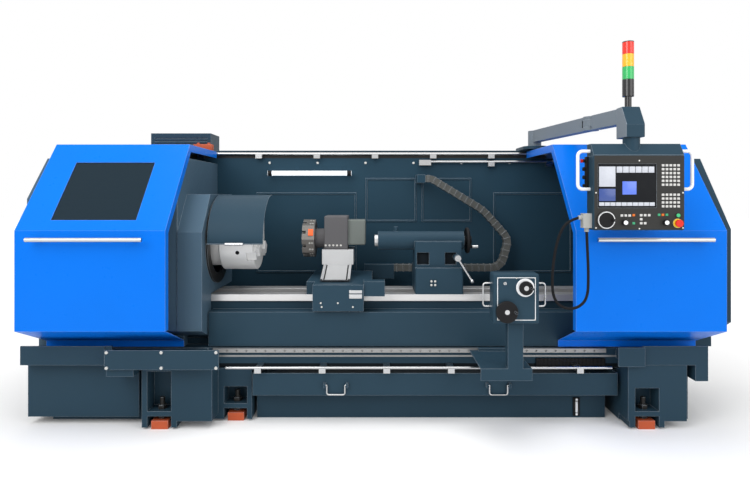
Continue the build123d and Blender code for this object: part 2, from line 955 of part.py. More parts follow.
def jaw_slot(width, gap):
    """The guideway of one jaw along +Y of the chuck's own axes."""
    return block(chuck_face_x - jaw_slot_depth - gap, chuck_face_x + jaw_reach, chuck_bore_r, chuck_r + cut_over,
                 -width / 2 - gap, width / 2 + gap)


def chuck_body():
    shape = rod_along_x(chuck_plate_x, chuck_body_x, spindle_y, spindle_z, chuck_r * chuck_plate_share)
    shape += rod_along_x(chuck_body_x, chuck_face_x, spindle_y, spindle_z, chuck_r)
    rim = [e for e in shape.edges().filter_by(GeomType.CIRCLE) if abs(e.radius - chuck_r) < cut_over]
    shape = chamfer(rim, chuck_edge)
    shape -= rod_along_x(chuck_plate_x - cut_over, chuck_face_x + cut_over, spindle_y, spindle_z, chuck_bore_r)
    for i in range(jaw_count):
        shape -= jaw_place(i) * jaw_slot(jaw_width, run_gap)
    return shape


def chuck_jaw(index):
    base = block(chuck_face_x - jaw_slot_depth, chuck_face_x, jaw_inner_r, jaw_outer_r, -jaw_width / 2,
                 jaw_width / 2)
    span = jaw_outer_r - jaw_inner_r
    top = block(chuck_face_x, chuck_face_x + jaw_reach / 2, jaw_inner_r, jaw_outer_r, -jaw_width / 2,
                jaw_width / 2)
    step = block(chuck_face_x, chuck_face_x + jaw_reach, jaw_inner_r, jaw_inner_r + span * jaw_step_share,
                 -jaw_width / 2, jaw_width / 2)
    return jaw_place(index) * (base + top + step)


# Doors

def door_line():
    return (
        (door_tuck_y, door_strip_z), (door_tuck_y, door_tuck_z), (door_front_y, door_low_z),
        (door_front_y, door_fold_z), (door_slope_y, door_top_z), (door_rear_y, door_top_z),
    )


def slope_prism(from_fold, to_fold, depth0, depth1, x0, x1):
    """A slab that lies along the door's sloped face, measured up from the fold and inwards from the face."""
    along = (Vector(door_slope_y, door_top_z) - Vector(door_front_y, door_fold_z)).normalized()
    inward = Vector(along.Y, -along.X)
    fold = Vector(door_front_y, door_fold_z)
    corners = []
    for run, depth in ((from_fold, depth0), (to_fold, depth0), (to_fold, depth1), (from_fold, depth1)):
        point = fold + along * run + inward * depth
        corners.append((point.X, point.Y))
    return prism_along_x(corners, x0, x1)


def door(x0):
    x1 = x0 + door_width
    line = door_line()
    shape = folded_sheet(line, sheet, x0, x1)
    for x in (x0, x1 - sheet):
        shape += folded_sheet(line[2:], door_flange, x, x + sheet)
    for x in (x0 + shoe_inset, x1 - shoe_inset - shoe_length):
        shape += block(x, x + shoe_length, door_rear_y - shoe_width / 2, rod_y + shoe_width / 2, rod_z + run_gap,
                       rod_z + rod_r * 2)
    return shape - rod_along_x(x0, x1, rod_y, rod_z, rod_r + run_gap)


def window_span():
    x0 = left_door_x0 + window_margin_x0
    return x0, x0 + window_width


def left_door():
    x0, x1 = window_span()
    return door(left_door_x0) - slope_prism(window_from_fold, window_from_fold + window_height, -cut_over,
                                            sheet + cut_over, x0, x1)


def left_window():
    x0, x1 = window_span()
    return slope_prism(window_from_fold - window_lip, window_from_fold + window_height + window_lip, sheet,
                       sheet + glass, x0 - window_lip, x1 + window_lip)


def right_door():
    return door(right_door_x0)


def door_handle(x0):
    y = door_front_y - handle_stand - handle_r
    shape = rod_along_x(x0, x0 + handle_length, y, handle_z, handle_r)
    for x in (x0 + handle_post_inset, x0 + handle_length - handle_post_inset):
        shape += rod_along_y(y, door_front_y, x, handle_z, handle_post_r)
    return shape


def left_handle():
    return door_handle(left_door_x0 + left_handle_inset)


def right_handle():
    return door_handle(right_door_x0 + right_handle_inset)


# Rear structure

def rear_wall():
    shape = block(-rear_half_length, rear_half_length, rear_wall_y, rear_wall_y + sheet, base_top_z, beam_z0)
    wall_height = beam_z0 - base_top_z
    for left, right, low, high in rear_panel_shares:
        x0 = rear_half_length * (2 * left - 1)
        x1 = rear_half_length * (2 * right - 1)
        z0 = base_top_z + wall_height * low
        z1 = base_top_z + wall_height * high
        frame = block(x0, x1, rear_wall_y - bead_height, rear_wall_y, z0, z1)
        frame -= block(x0 + bead_width, x1 - bead_width, rear_wall_y - bead_height - cut_over, rear_wall_y,
                       z0 + bead_width, z1 - bead_width)
        shape += frame
    shape += block(-rear_half_length, rear_half_length, rear_wall_y, beam_rear_y, beam_z0, beam_z1)
    shape -= block(-rear_half_length - cut_over, rear_half_length + cut_over, rear_wall_y + beam_sheet,
                   beam_rear_y + cut_over, beam_z0 + beam_sheet, beam_z1 - beam_sheet)
    bolt_z = (beam_z0 + beam_z1) / 2
    for i in range(beam_bolt_count):
        x = beam_bolt_x0 + beam_bolt_pitch * i
        shape += rod_along_y(rear_wall_y - bolt_head, rear_wall_y, x, bolt_z, bolt_r)
    anchor_y0 = chain_y - chain_width / 2
    shape += block(chain_x0 - chain_anchor_width, chain_x0, anchor_y0, rear_wall_y, beam_z0 - chain_anchor_height,
                   beam_z0)
    return shape


def rod_with_clamps(x0, x1, y, z, radius, clamp_y, clamp_low_z, places, width):
    """A guide rod held from below by clamp blocks that reach back to the plane y = clamp_y."""
    shape = rod_along_x(x0, x1, y, z, radius)
    for x in places:
        front_y = y - radius - width / 8
        shape += block(x - width / 2, x + width / 2, front_y, clamp_y, clamp_low_z, z)
    return shape


def door_rods():
    reach = int((rod_half_length - clamp_width) // clamp_pitch)
    places = [clamp_pitch * i for i in range(-reach, reach + 1)]
    main_rod = rod_with_clamps(-rod_half_length, rod_half_length, rod_y, rod_z, rod_r, rear_wall_y,
                               rod_z - clamp_height, places, clamp_width)
    second_z = rod_z - second_rod_drop
    second_places = [x for x in places if second_rod_x0 + clamp_width < x < second_rod_x1 - clamp_width]
    second_rod = rod_with_clamps(second_rod_x0, second_rod_x1, rod_y, second_z, rod_r, rear_wall_y,
                                 second_z - clamp_height, second_places, clamp_width)
    half = stop_height / 2
    second_rod += block(second_rod_x0 - stop_width, second_rod_x0, rod_y - half / 2, rear_wall_y, second_z - half,
                        second_z + half / 2)
    span = (front_rod_x1 - front_rod_x0) / front_clamp_count
    front_places = [front_rod_x0 + span * (i + 1 / 2) for i in range(front_clamp_count)]
    front_rod = rod_with_clamps(front_rod_x0, front_rod_x1, front_rod_y, front_rod_z, front_rod_r, front_beam_y,
                                shoulder_z, front_places, front_clamp)
    return group((main_rod, second_rod, front_rod))


def work_light():
    y = rear_wall_y - light_bracket - light_cap_r
    shape = rod_along_x(light_x0, light_x1, y, light_z, light_r)
    for x in (light_x0, light_x1 - light_cap):
        shape += rod_along_x(x, x + light_cap, y, light_z, light_cap_r)
        shape += block(x, x + light_cap, y, rear_wall_y, light_z - light_r / 2, light_z + light_r / 2)
    return shape


def electrical_cabinet():
    shape = block(cabinet_x0, cabinet_x1, beam_rear_y, rear_reach, cabinet_z0, cabinet_top_z)
    shape -= block(cabinet_x0 + cabinet_wall, cabinet_x1 - cabinet_wall, beam_rear_y + cabinet_wall,
                   rear_reach - cabinet_wall, cabinet_z0 - cut_over, cabinet_top_z - cabinet_wall)
    box_y0 = beam_rear_y + vent_box_setback
    shape += block(vent_box_x0, vent_box_x1, box_y0, box_y0 + vent_box_depth, cabinet_top_z, vent_box_top_z)
    shape -= block(vent_box_x0 + cabinet_wall, vent_box_x1 - cabinet_wall, box_y0 + cabinet_wall,
                   box_y0 + vent_box_depth - cabinet_wall, cabinet_top_z - cabinet_wall - cut_over,
                   vent_box_top_z - cabinet_wall)
    pitch = (vent_box_top_z - cabinet_top_z - 2 * vent_margin) / vent_rows
    for i in range(vent_rows):
        z = cabinet_top_z + vent_margin + pitch * (i + 1 / 2)
        shape -= block(vent_box_x0 + vent_margin, vent_box_x1 - vent_margin, box_y0 - cut_over,
                       box_y0 + vent_slot_depth, z - vent_slot / 2, z + vent_slot / 2)
    return shape


# Front sills and rail

def front_sills():
    shape = block(sheet - half_length, sill_end_x1, front_beam_y, shoulder_y, shoulder_z, front_beam_top_z)
    pieces = (
        (-half_length, sill_left_x1, sill_left_front_y, 0, 0),
        (sill_left_x1, sill_plate_x0, sill_left_front_y + sill_wall / 2, 0, 0),
        (sill_plate_x0, sill_plate_x1, sill_front_y, 0, sill_overhang),
        (sill_right_x0, sill_right_x1, sill_right_front_y, sill_overhang / 2, 0),
        (sill_right_x1, sill_end_x1, sill_left_front_y, 0, 0),
    )
    for x0, x1, front_y, free_left, free_right in pieces:
        floor_x0 = x0 + free_left
        floor_x1 = x1 - free_right
        shape += block(x0, x1, front_y, front_y + sill_wall, sill_z0, sill_z1)
        shape += block(floor_x0, floor_x1, front_y, sill_rear_y, sill_z0, sill_floor_z)
        shape += block(floor_x0, floor_x1, sill_rear_y, front_beam_y, sill_z0, front_beam_top_z - sheet)
    shape += block(sill_plate_x0, sill_plate_x0 + sill_box_length, sill_box_y0, sill_box_y1, sill_box_z0, sill_z0)
    shape += block(sill_end_x1 - end_box_length, sill_end_x1, sill_left_front_y, base_front_y - cut_over, end_box_z0,
                   sill_z0)
    for i in range(sill_bolt_columns):
        span = sill_plate_x1 - sill_plate_x0 - sill_bolt_inset * 2
        x = sill_plate_x0 + sill_bolt_inset + span * i / (sill_bolt_columns - 1)
        for share in sill_bolt_shares:
            z = sill_z0 + (sill_z1 - sill_z0) * share
            shape += rod_along_y(sill_front_y - bolt_head, sill_front_y, x, z, bolt_r)
    shape += block(-half_length, skirt_x1, skirt_y, skirt_y + sheet, skirt_z0, sill_z0)
    shape += block(-half_length, sheet - half_length, skirt_y, base_rear_y, skirt_z0, sill_z0)
    return shape


def cart_rail():
    z1 = front_beam_top_z
    z0 = z1 - rail_height
    shape = block(rail_x0, rail_x1, front_beam_y - rail_depth, front_beam_y, z0, z1)
    count = int((rail_x1 - rail_x0) // rail_hole_pitch)
    front_y = front_beam_y - rail_depth
    for i in range(count):
        x = rail_x0 + rail_hole_pitch * (i + 1 / 2)
        shape -= rod_along_y(front_y - cut_over, front_y + rail_hole_depth, x, (z0 + z1) / 2, rail_hole_r)
    return shape


# Carriage

def saddle():
    low_z = way_top_z + run_gap
    shape = block(saddle_x0, saddle_x1, front_way_y0, saddle_rear_y, low_z, saddle_top_z)
    shape += block(apron_x0, apron_x1, apron_front_y, front_way_y0, low_z, saddle_top_z)
    shape += block(apron_x0, apron_x1, apron_front_y, front_way_y0 - run_gap, apron_low_z, low_z)
    shape += block(apron_x1, feed_motor_x1, feed_motor_y0, feed_motor_y0 + feed_motor_size, feed_motor_z0,
                   feed_motor_z0 + feed_motor_size)
    shape += block(nut_x0, nut_x0 + nut_length, rear_way_y1 + run_gap, screw_y + nut_half, screw_z - nut_half, low_z)
    shape -= rod_along_x(nut_x0 - cut_over, nut_x0 + nut_length + cut_over, screw_y, screw_z, screw_r + run_gap)
    bracket_z0 = saddle_top_z - chain_bracket_height
    bracket_y1 = chain_y + chain_width / 2
    shape += block(saddle_x1 - chain_bracket_height, chain_bracket_x1, chain_y - chain_width / 2, bracket_y1,
                   bracket_z0, chain_low_z + chain_height / 2)
    return shape


def cross_slide():
    shape = block(slide_x0 + slide_foot_inset, slide_x1 - slide_foot_inset, slide_front_y, slide_rear_y,
                  saddle_top_z + run_gap, slide_foot_z)
    return shape + block(slide_x0, slide_x1, slide_front_y, slide_rear_y, slide_foot_z, slide_top_z)


def way_cover():
    shape = prism_along_x(cover_slab(0, -sheet), way_cover_x0, way_cover_x1)
    for x in (way_cover_x0, way_cover_x1 - way_cover_rib):
        shape += prism_along_x(cover_slab(way_cover_rib_height, 0), x, x + way_cover_rib)
    return shape


def cover_slab(high, low):
    """A slanted slab of the way cover between two heights above its face, cut upright at both ends."""
    return (
        (way_cover_front_y, way_cover_low_z + low), (way_cover_front_y, way_cover_low_z + high),
        (slide_front_y, way_cover_high_z + high), (slide_front_y, way_cover_high_z + low),
    )


def turret_housing():
    z0 = slide_top_z
    shape = soft_block(turret_box_x0, turret_box_x1, turret_box_y0, turret_box_y1, z0, turret_box_top_z,
                       turret_edge)
    shape += soft_block(turret_box_x1 - turret_edge * 2, turret_motor_x1, turret_box_y0 + turret_motor_inset,
                        turret_box_y1 - turret_motor_inset, z0 + turret_motor_inset,
                        turret_box_top_z - turret_motor_inset, turret_edge)
    shape += rod_along_x(turret_x1, turret_box_x0 + turret_edge * 2, turret_y, spindle_z, turret_neck_r)
    return shape - rod_along_x(turret_x1 - cut_over, turret_x1 + turret_shaft_depth + cut_over, turret_y, spindle_z,
                               turret_shaft_r + run_gap)


def turret_disc():
    face_x = turret_x1 - run_gap
    plane = Plane(origin=(turret_x0, turret_y, spindle_z), x_dir=(0, 1, 0), z_dir=(1, 0, 0))
    shape = extrude(plane * RegularPolygon(turret_r, turret_sides), amount=face_x - turret_x0)
    flat_r = turret_r * math.cos(math.pi / turret_sides)
    for i in range(turret_sides):
        angle = 180 * (2 * i + 1) / turret_sides
        slot = block(turret_x0 - cut_over, turret_x0 + tool_slot, flat_r - tool_slot_depth, turret_r, -tool_slot / 2,
                     tool_slot / 2)
        shape -= Pos(0, turret_y, spindle_z) * Rot(angle, 0, 0) * slot
    shape += rod_along_x(turret_x0 - turret_cap, turret_x0, turret_y, spindle_z, turret_cap_r)
    return shape + rod_along_x(face_x, turret_x1 + turret_shaft_depth, turret_y, spindle_z, turret_shaft_r)


# Tailstock

def tailstock():
    low_z = way_top_z + run_gap
    shape = block(tail_base_x0, tail_base_x1, front_way_y0, rear_way_y1, low_z, tail_base_top_z)
    shape += block(tail_base_x0, tail_base_x1, tail_column_y0, tail_column_y1, tail_base_top_z, spindle_z)
    upright = [e for e in shape.edges().filter_by(Axis.Z)]
    shape = fillet(upright, tail_edge)
    shape += rod_along_x(barrel_x0, barrel_x1, spindle_y, spindle_z, barrel_r)
    span = tail_base_x1 - tail_base_x0
    for left, right in tail_recess_shares:
        shape -= block(tail_base_x0 + span * left, tail_base_x0 + span * right, tail_column_y0 - cut_over,
                       tail_column_y0 + tail_recess_depth, tail_recess_z0, tail_recess_z1)
    shape += rod_along_z(spindle_z, spindle_z + barrel_r + tail_oiler_height, (barrel_x0 + tail_base_x0) / 2,
                         spindle_y, tail_oiler_r)
    shape -= rod_along_x(barrel_x0 - cut_over, barrel_x1 - barrel_end, spindle_y, spindle_z, quill_r + run_gap)
    shape -= rod_along_x(barrel_x0, barrel_x1 + cut_over, spindle_y, spindle_z, wheel_shaft_r + run_gap)
    return shape + rod_along_y(tail_column_y0 - lever_boss, tail_column_y0 + tail_recess_depth, lever_x, lever_z,
                               lever_boss_r) - lever_bore()


def lever_bore():
    return rod_along_y(tail_column_y0 - lever_boss - cut_over, tail_column_y0, lever_x, lever_z,
                       lever_pin_r + run_gap)


def clamp_lever():
    y1 = tail_column_y0 - lever_boss - run_gap
    y0 = y1 - lever_hub
    y = (y0 + y1) / 2
    angle = math.radians(lever_angle)
    tip = (lever_x + lever_length * math.cos(angle), y, lever_z + lever_length * math.sin(angle))
    shape = rod_along_y(y0, y1, lever_x, lever_z, lever_hub_r)
    shape += bar((lever_x, y, lever_z), tip, lever_r)
    shape += Pos(*tip) * Sphere(lever_ball_r)
    return shape + rod_along_y(y1, tail_column_y0 - run_gap, lever_x, lever_z, lever_pin_r)


def quill():
    shape = rod_along_x(quill_x0, quill_x0 + quill_length, spindle_y, spindle_z, quill_r)
    return shape - rod_along_x(quill_x0 - cut_over, quill_x0 + quill_bore_depth, spindle_y, spindle_z, quill_bore_r)


def quill_handwheel():
    x0 = barrel_x1 + run_gap
    rim_x = x0 + wheel_hub / 2
    plane = Plane(origin=(rim_x, spindle_y, spindle_z), z_dir=(1, 0, 0))
    shape = rod_along_x(x0, x0 + wheel_hub, spindle_y, spindle_z, wheel_hub_r)
    shape += rod_along_x(rim_x - wheel_web / 2, rim_x + wheel_web / 2, spindle_y, spindle_z, wheel_r - wheel_rim_r)
    shape += plane * Torus(wheel_r - wheel_rim_r, wheel_rim_r)
    crank_place = wheel_r - wheel_rim_r * 2
    crank_y = spindle_y - crank_place * math.cos(math.radians(crank_angle))
    crank_z = spindle_z - crank_place * math.sin(math.radians(crank_angle))
    shape += rod_along_x(rim_x, rim_x + crank_length, crank_y, crank_z, crank_r)
    return shape + rod_along_x(x0 - wheel_shaft_depth, x0, spindle_y, spindle_z, wheel_shaft_r)


# Hand-wheel cart

def cart():
    rail_front_y = front_beam_y - rail_depth
    shape = block(cart_x0, cart_x1, cart_front_y, rail_front_y - run_gap, cart_top_z - cart_plate, cart_top_z)
    shape += block(cart_x0, cart_x1, cart_front_y, cart_front_y + cart_plate, cart_skirt_z, cart_top_z)
    middle_x = (cart_x0 + cart_x1) / 2
    half = shoe_block_length / 2
    block_z0 = front_beam_top_z - rail_height - run_gap - shoe_block_lip
    block_z1 = front_beam_top_z + run_gap + shoe_block_lip
    block_y0 = rail_front_y - shoe_block_depth
    shape += block(middle_x - half, middle_x + half, block_y0, rail_front_y + rail_depth / 2, block_z0, block_z1)
    shape -= block(middle_x - half - cut_over, middle_x + half + cut_over, rail_front_y - run_gap, front_beam_y,
                   front_beam_top_z - rail_height - run_gap, front_beam_top_z + run_gap)
    shape += block(middle_x - bush_length / 2, middle_x + bush_length / 2, front_rod_y - bush_width / 2,
                   front_rod_y + bush_width / 2, front_rod_z + run_gap, cart_top_z - cart_plate)
    shape -= rod_along_x(cart_x0, cart_x1, front_rod_y, front_rod_z, front_rod_r + run_gap)
    return shape + block(post_x0, post_x1, cart_front_y, cart_front_y + post_depth, cart_top_z, station_z0)


def station_box():
    shape = soft_block(station_x0, station_x1, station_front_y, station_rear_y, station_z0, station_z1, station_edge)
    for x, z in zip(feed_wheel_x, feed_wheel_z):
        shape -= rod_along_y(station_front_y - cut_over, station_front_y + feed_shaft_depth + cut_over, x, z,
                             feed_shaft_r + run_gap)
    y = (station_front_y + station_rear_y) / 2
    for x, side in ((station_x0, -1), (station_x1, 1)):
        reach = x + side * station_handle_reach
        root = x - side * station_edge
        points = ((root, y, station_handle_z0), (reach, y, station_handle_z0), (reach, y, station_handle_z1),
                  (root, y, station_handle_z1))
        shape += tube_frame(points, station_handle_r, station_handle_r * 3)
    return shape


def feed_wheel(index):
    x, z, radius = feed_wheel_x[index], feed_wheel_z[index], feed_wheel_r[index]
    hub_y = station_front_y - run_gap
    rear_y = hub_y - feed_hub
    front_y = rear_y - feed_wheel_depth
    shape = rod_along_y(front_y, rear_y, x, z, radius)
    edge = feed_wheel_depth / 4
    shape = fillet(shape.edges().filter_by(GeomType.CIRCLE), edge)
    shape += rod_along_y(rear_y, hub_y, x, z, radius * feed_hub_share)
    shape += rod_along_y(front_y - feed_knob_length, front_y, x + radius * feed_knob_place_share, z, feed_knob_r)
    return shape + rod_along_y(hub_y, station_front_y + feed_shaft_depth, x, z, feed_shaft_r)


# Swing arm

def arm_bracket_plate():
    half = arm_bracket_width / 2
    shape = block(arm_x - half, arm_x + half, arm_y, beam_rear_y, beam_z1, arm_bracket_z1)
    shape += rod_along_z(beam_z1, arm_bracket_z1, arm_x, arm_y, half)
    return shape + rod_along_z(arm_bracket_z1, arm_z1, arm_x, arm_y, arm_pin_r)


def arm_tube(start, end, z0, z1):
    """A flat-sided tube between two upright axes."""
    run = Vector(end[0] - start[0], end[1] - start[1])
    angle = math.degrees(math.atan2(run.Y, run.X))
    middle = ((start[0] + end[0]) / 2, (start[1] + end[1]) / 2, (z0 + z1) / 2)
    return Pos(*middle) * Rot(0, 0, angle) * Box(run.length, arm_width, z1 - z0)


def elbow_mid_z():
    return arm_z0 + elbow_lug, arm_z1 - elbow_lug


def arm_rear():
    low, high = elbow_mid_z()
    shape = arm_tube((arm_x, arm_y), (elbow_x, elbow_y), arm_z0, arm_z1)
    shape += rod_along_z(arm_bracket_z1 + run_gap, arm_z1, arm_x, arm_y, arm_knuckle_r)
    shape += rod_along_z(arm_z0, arm_z1, elbow_x, elbow_y, elbow_r)
    shape -= rod_along_z(low, high, elbow_x, elbow_y, elbow_r + arm_width / 4)
    shape += rod_along_z(low, high, elbow_x, elbow_y, elbow_pin_r)
    return shape - rod_along_z(arm_bracket_z1, arm_z1 + cut_over, arm_x, arm_y, arm_pin_r + run_gap)


def arm_front():
    low, high = elbow_mid_z()
    shape = arm_tube((elbow_x, elbow_y), (swivel_x, swivel_y), arm_z0, arm_z1)
    shape -= rod_along_z(arm_z0 - cut_over, arm_z1 + cut_over, elbow_x, elbow_y, elbow_r + arm_width / 4)
    shape += arm_tube((elbow_x, elbow_y), (swivel_x, swivel_y), low + run_gap, high - run_gap)
    shape += rod_along_z(low + run_gap, high - run_gap, elbow_x, elbow_y, elbow_r)
    half_x = arm_head_width / 2
    front_y = swivel_y - arm_head_front
    shape += soft_block(swivel_x - half_x, swivel_x + half_x, front_y, swivel_y + arm_head_rear,
                        arm_head_z0, arm_head_z1, arm_head_edge)
    above_z = arm_head_z1 + cut_over
    slope = ((front_y, arm_head_fold_z), (front_y + arm_head_setback, arm_head_z1),
             (front_y + arm_head_setback, above_z), (front_y - cut_over, above_z),
             (front_y - cut_over, arm_head_fold_z))
    shape -= prism_along_x(slope, swivel_x - arm_head_width, swivel_x + arm_head_width)
    shape -= rod_along_z(arm_z0, arm_z1, elbow_x, elbow_y, elbow_pin_r + run_gap)
    return shape - rod_along_z(arm_head_z0 - cut_over, arm_head_z0 + swivel_pin_height + cut_over, swivel_x,
                               swivel_y, swivel_pin_r + run_gap)


def signal_beacon():
    beacon_y = swivel_y + beacon_setback
    knuckle_z1 = arm_head_z1 + beacon_knuckle
    base_z1 = knuckle_z1 + beacon_base
    shape = rod_along_z(arm_head_z1, knuckle_z1, swivel_x, beacon_y, beacon_knuckle_r)
    shape += rod_along_z(knuckle_z1, beacon_top_z, swivel_x, beacon_y, beacon_r)
    lens = (beacon_top_z - base_z1) / 3
    for i in range(3):
        z = base_z1 + lens * i
        ring = rod_along_z(z, z + beacon_groove, swivel_x, beacon_y, beacon_r + cut_over)
        ring -= rod_along_z(z - cut_over, z + beacon_groove + cut_over, swivel_x, beacon_y,
                            beacon_r - beacon_groove_depth)
        shape -= ring
    return shape


# Control panel

def control_bore(x, z):
    return rod_along_y(panel_front_y - stop_ring - cut_over, panel_front_y + control_shaft_depth + stop_travel, x, z,
                       control_shaft_r + run_gap)


def panel_case():
    shape = soft_block(panel_x0, panel_x1, panel_front_y, panel_rear_y, panel_z0, panel_z1, panel_edge)
    hood = (
        (panel_front_y + panel_edge, panel_z1 - panel_edge), (panel_front_y + hood_lip, panel_z1),
        (hood_front_y, hood_top_z), (panel_rear_y - hood_inset, hood_top_z),
        (panel_rear_y - hood_inset, panel_z1 - panel_edge),
    )
    shape += prism_along_x(hood, panel_x0 + hood_inset, panel_x1 - hood_inset)
    shape += rod_along_z(panel_z1, arm_head_z0 - run_gap, swivel_x, swivel_y, swivel_neck_r)
    shape += rod_along_z(arm_head_z0 - run_gap, arm_head_z0 + swivel_pin_height, swivel_x, swivel_y, swivel_pin_r)
    shape -= block(screen_x0, screen_x1, panel_front_y - cut_over, panel_front_y + screen_depth + screen_sink,
                   screen_z0, screen_z1)
    y = (panel_front_y + panel_rear_y) / 2
    for x, side in ((panel_x0, -1), (panel_x1, 1)):
        reach = x + side * panel_handle_reach
        root = x - side * panel_edge
        points = ((root, y, panel_handle_z0), (reach, y, panel_handle_z0), (reach, y, panel_handle_z1),
                  (root, y, panel_handle_z1))
        shape += tube_frame(points, panel_handle_r, panel_handle_r * 3)
    shape += rod_along_y(panel_front_y - stop_ring, panel_front_y + panel_edge, stop_x, stop_z, stop_ring_r)
    for x, z in ((jog_x, jog_z), (knob_x[0], knob_z), (knob_x[1], knob_z), (stop_x, stop_z), (stop_x, start_z)):
        shape -= control_bore(x, z)
    half = gland_box_depth / 2
    shape += block(gland_box_x0, panel_x0 + panel_edge, conduit_y - half, conduit_y + half, gland_box_z0,
                   gland_box_z1)
    (exit_x, exit_z), (end_x, end_z) = conduit_points[0], conduit_points[-1]
    shape += rod_along_z(exit_z - gland / 4, gland_box_z0, exit_x, conduit_y, gland_r)
    return shape + rod_along_x(end_x - gland / 4, gland_box_x0, conduit_y, end_z, gland_r)


def panel_screen():
    y0 = panel_front_y + screen_sink
    return block(screen_x0 + seat_gap, screen_x1 - seat_gap, y0, y0 + screen_depth, screen_z0 + seat_gap,
                 screen_z1 - seat_gap)


def turning_control(x, z, radius, depth, face_y):
    """A knob on its shaft, standing a little off the face behind it."""
    rear_y = face_y - control_gap
    shape = rod_along_y(rear_y - depth, rear_y, x, z, radius)
    front = [e for e in shape.edges().filter_by(GeomType.CIRCLE)]
    shape = fillet(front, depth / 8)
    return shape + rod_along_y(rear_y, panel_front_y + control_shaft_depth, x, z, control_shaft_r)


def jog_wheel():
    shape = turning_control(jog_x, jog_z, jog_r, jog_depth, panel_front_y)
    y1 = panel_front_y - control_gap - jog_depth
    return shape + rod_along_y(y1 - jog_depth, y1, jog_x + jog_r * feed_knob_place_share, jog_z, feed_knob_r)


def stop_button():
    return turning_control(stop_x, stop_z, stop_r, stop_cap, panel_front_y - stop_ring - stop_travel)


def start_button():
    return turning_control(stop_x, start_z, start_r, start_cap, panel_front_y - start_travel)


def panel_conduit():
    points = [Vector(x, conduit_y, z) for x, z in conduit_points]
    radii = []
    for before, here, after in zip(points, points[1:], points[2:]):
        turn = math.radians((here - before).get_angle(after - here))
        shorter = min((here - before).length, (after - here).length)
        radii.append(conduit_radius_share * shorter / math.tan(turn / 2))
    path = FilletPolyline(*points, radius=radii)
    start = Plane(origin=path @ 0, z_dir=path % 0)
    tube = sweep(start * Circle(conduit_d / 2), path=path)
    section = math.pi * (conduit_d / 2) ** 2
    print("conduit radii", [round(r) for r in radii])
    print("conduit length", round(path.length), "volume share", round(tube.volume / section / path.length, 4))
    return tube


# Chip tray, tank and chain

def tray_floor_z():
    return tank_top_z + run_gap


def chip_tray():
    z0 = tray_floor_z()
    shape = block(tray_x0, tray_x1, tray_front_y, tray_rear_y, z0, tray_top_z)
    shape -= block(tray_x0 + tray_wall, tray_x1 - tray_wall, tray_front_y + tray_wall, tray_rear_y - tray_wall,
                   z0 + tray_wall, tray_top_z + cut_over)
    y = tray_front_y - ear_reach / 2
    inner = bail_half + bail_r + ear_gap
    for x in bail_x:
        for side in (-1, 1):
            x0 = min(x + side * inner, x + side * (inner + ear))
            lug = block(x0, x0 + ear, tray_front_y - ear_reach, tray_front_y, bail_z - ear_half_height,
                        bail_z + ear_half_height)
            shape += lug - rod_along_x(x0 - cut_over, x0 + ear + cut_over, y, bail_z, bail_r + run_gap)
    return shape


def bail(index):
    x = bail_x[index]
    y = tray_front_y - ear_reach / 2
    pin = bail_half + bail_r + ear_gap + ear
    points = ((x - pin, y, bail_z), (x - bail_half, y, bail_z), (x - bail_half, y, bail_z - bail_drop),
              (x + bail_half, y, bail_z - bail_drop), (x + bail_half, y, bail_z), (x + pin, y, bail_z))
    return tube_frame(points, bail_r, (bail_r, bail_bend, bail_bend, bail_r))


def coolant_tank():
    shape = block(tank_x0, tank_x1, tank_front_y, tank_rear_y, 0, tank_top_z)
    return shape - block(tank_x0 + tank_wall, tank_x1 - tank_wall, tank_front_y + tank_wall, tank_rear_y - tank_wall,
                         tank_wall, tank_top_z + cut_over)


def cable_chain():
    corners = ((chain_x0, chain_z0), (chain_x0 + chain_run, chain_z0), (chain_corner_x, chain_corner_z),
               (chain_far_x, chain_far_z), (chain_turn_x, chain_low_z), (chain_bracket_x1, chain_low_z))
    path = FilletPolyline(*[(x, chain_y, z) for x, z in corners], radius=chain_bends)

    def section(place, grow):
        plane = Plane(origin=path @ place, x_dir=(0, 1, 0), z_dir=path % place)
        return plane * Rectangle(chain_width + grow, chain_height + grow)

    shape = sweep(section(0, -chain_rib_height * 2), path=path)
    count = int(path.length // chain_link)
    for i in range(count):
        shape += extrude(section((i + 1 / 2) / count, 0), amount=chain_rib / 2, both=True)
    return shape


